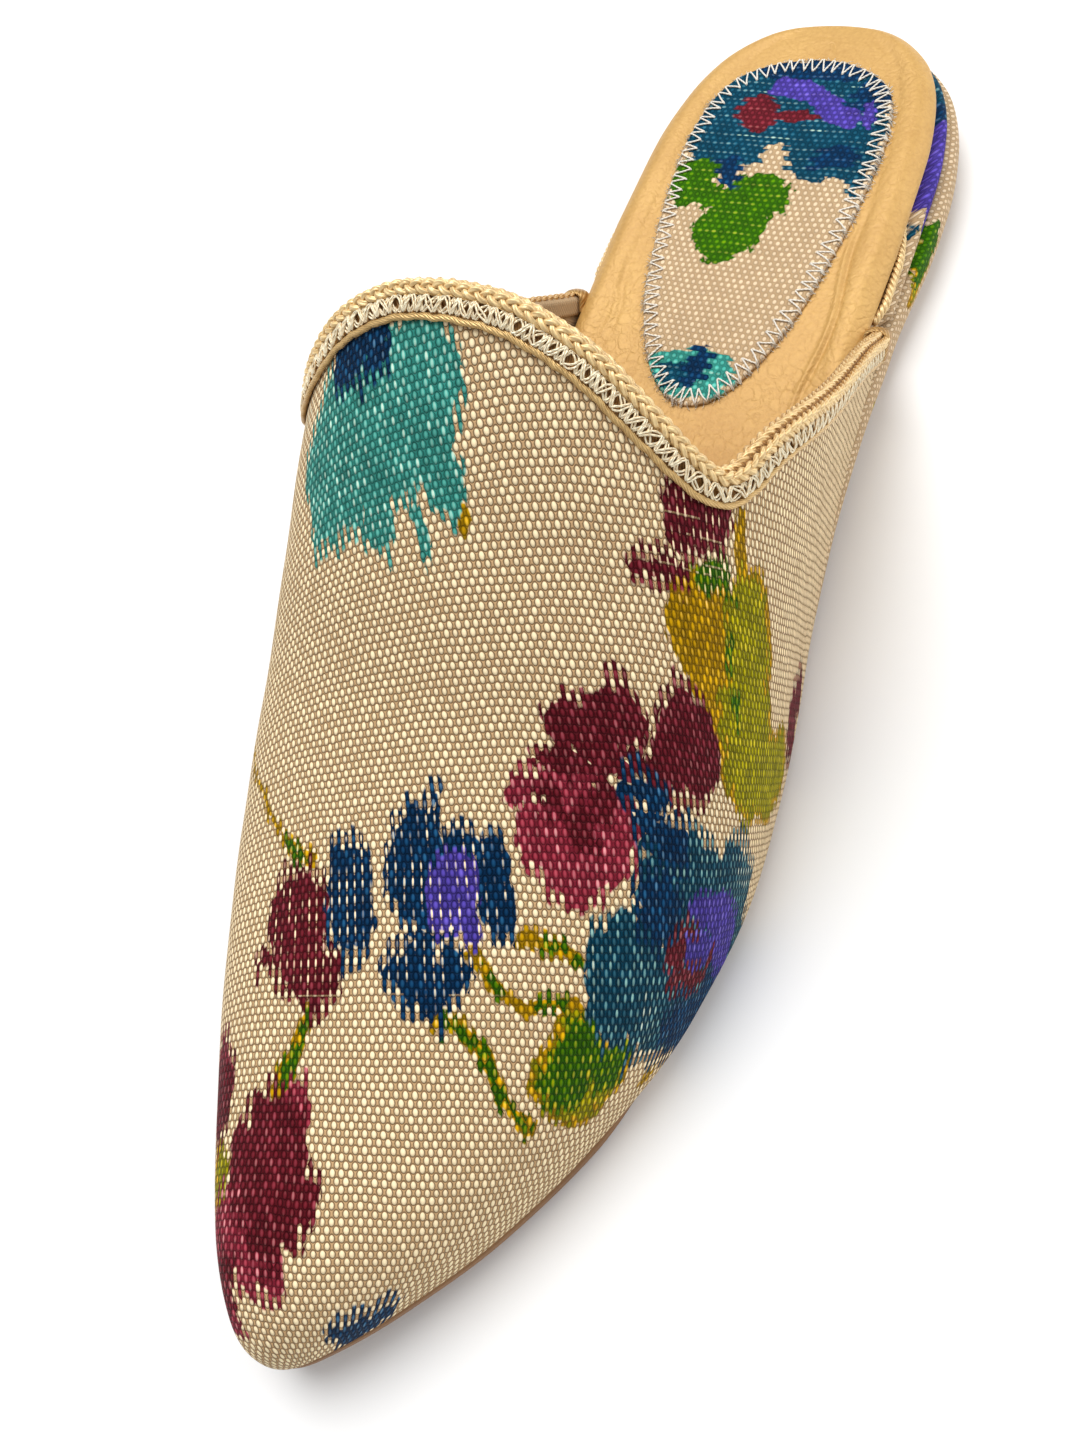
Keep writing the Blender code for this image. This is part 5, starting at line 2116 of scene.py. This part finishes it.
@dataclass(frozen=True)
class Camera:
    """The photograph's camera, in the shoe's frame."""

    azimuth: float = math.radians(60.20)
    elevation: float = math.radians(59.95)
    roll: float = math.radians(-39.80)
    target: Tuple[float, float, float] = (5.80, -26.62, 25.0)
    distance: float = 204.68
    lens: float = 31.85
    sensor: float = 36.0
    nearest: float = 0.005
    farthest: float = 20.0

    def build(self) -> None:
        """Place the camera: back from its target along azimuth and elevation, then rolled."""
        back = np.array([math.sin(self.azimuth) * math.cos(self.elevation),
                         -math.cos(self.azimuth) * math.cos(self.elevation), math.sin(self.elevation)])
        right = unit(np.cross(UP, back))
        up = np.cross(back, right)
        rolled_right = math.cos(self.roll) * right + math.sin(self.roll) * up
        rolled_up = math.cos(self.roll) * up - math.sin(self.roll) * right
        place = (np.array(self.target) + back * self.distance) * MM
        data = bpy.data.cameras.new("photo_camera")
        data.lens = self.lens
        data.sensor_width = self.sensor
        data.clip_start = self.nearest
        data.clip_end = self.farthest
        camera = new_object("photo_camera", data)
        camera.matrix_world = facing(rolled_right, rolled_up, back, place)
        bpy.context.scene.camera = camera


@dataclass(frozen=True)
class Lamp:
    """One soft round lamp: its place in metres, how wide it is, its power and what it faces."""

    name: str
    place: Tuple[float, float, float]
    wide: float
    power: float
    aim: Tuple[float, float, float] = (0.0, 0.0, 0.02)
    colour: Tuple[float, float, float] = (1.0, 1.0, 1.0)

    def build(self) -> None:
        """Hang the lamp so that it faces the shoe."""
        data = bpy.data.lights.new(self.name, "AREA")
        data.shape = "DISK"
        data.size = self.wide
        data.energy = self.power
        data.color = self.colour
        back = unit(np.array(self.place) - np.array(self.aim))
        right = unit(np.cross(np.array([0.0, 1.0, 0.0]), back))
        lamp = new_object(self.name, data)
        lamp.matrix_world = facing(right, np.cross(back, right), back, np.array(self.place))


@dataclass
class Studio:
    """Pale paper floor, soft lamps and the photograph's camera."""

    floor_side: float = 6.0
    floor_steps: int = 4
    sky: float = 0.42
    lamps: Tuple[Lamp, ...] = (
        Lamp("window_softbox", place=(-0.28, 0.33, 1.25), wide=1.0, power=15.2),
        Lamp("side_reflector", place=(0.78, 0.75, 0.6), wide=0.9, power=5.0),
    )

    def build(self) -> None:
        """Lay the floor, hang the lamps, light the surroundings and set up the camera."""
        line = np.linspace(-0.5 * self.floor_side, 0.5 * self.floor_side, self.floor_steps)
        x, y = np.meshgrid(line, line)
        points = np.stack([x, y, np.zeros_like(x)], axis=-1).reshape(-1, 3)
        mesh = bpy.data.meshes.new("studio_floor")
        faces = grid_faces(self.floor_steps, self.floor_steps)[:, ::-1]
        mesh.from_pydata(points.tolist(), [], faces.tolist())
        mesh.materials.append(Paper().make())
        floor = new_object("studio_floor", mesh)
        floor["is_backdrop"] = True
        for lamp in self.lamps:
            lamp.build()
        world = bpy.data.worlds.new("studio_light")
        world.use_nodes = True
        background = world.node_tree.nodes["Background"]
        background.inputs["Color"].default_value = (1.0, 1.0, 1.0, 1.0)
        background.inputs["Strength"].default_value = self.sky
        bpy.context.scene.world = world
        bpy.context.scene.view_settings.view_transform = "Standard"
        Camera().build()


def main() -> None:
    """Build the shoe's pieces in order round its solids."""
    logging.basicConfig(level=logging.INFO, format="%(name)s: %(message)s")
    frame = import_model()
    LOG.info("solids in the frame: %s", ", ".join(sorted(frame["nodes"])))
    solid = tuple(corner.copy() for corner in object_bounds())
    last = Last()
    Studio().build()
    finishes = Finishes.made()
    Vamp(last, finishes).build()
    CollarBraid(last, finishes, CollarPath(last)).build()
    Footbed(last, finishes).build()
    Heel(last, finishes).build()
    Sole(last, finishes).build()


if __name__ == "__main__":
    main()
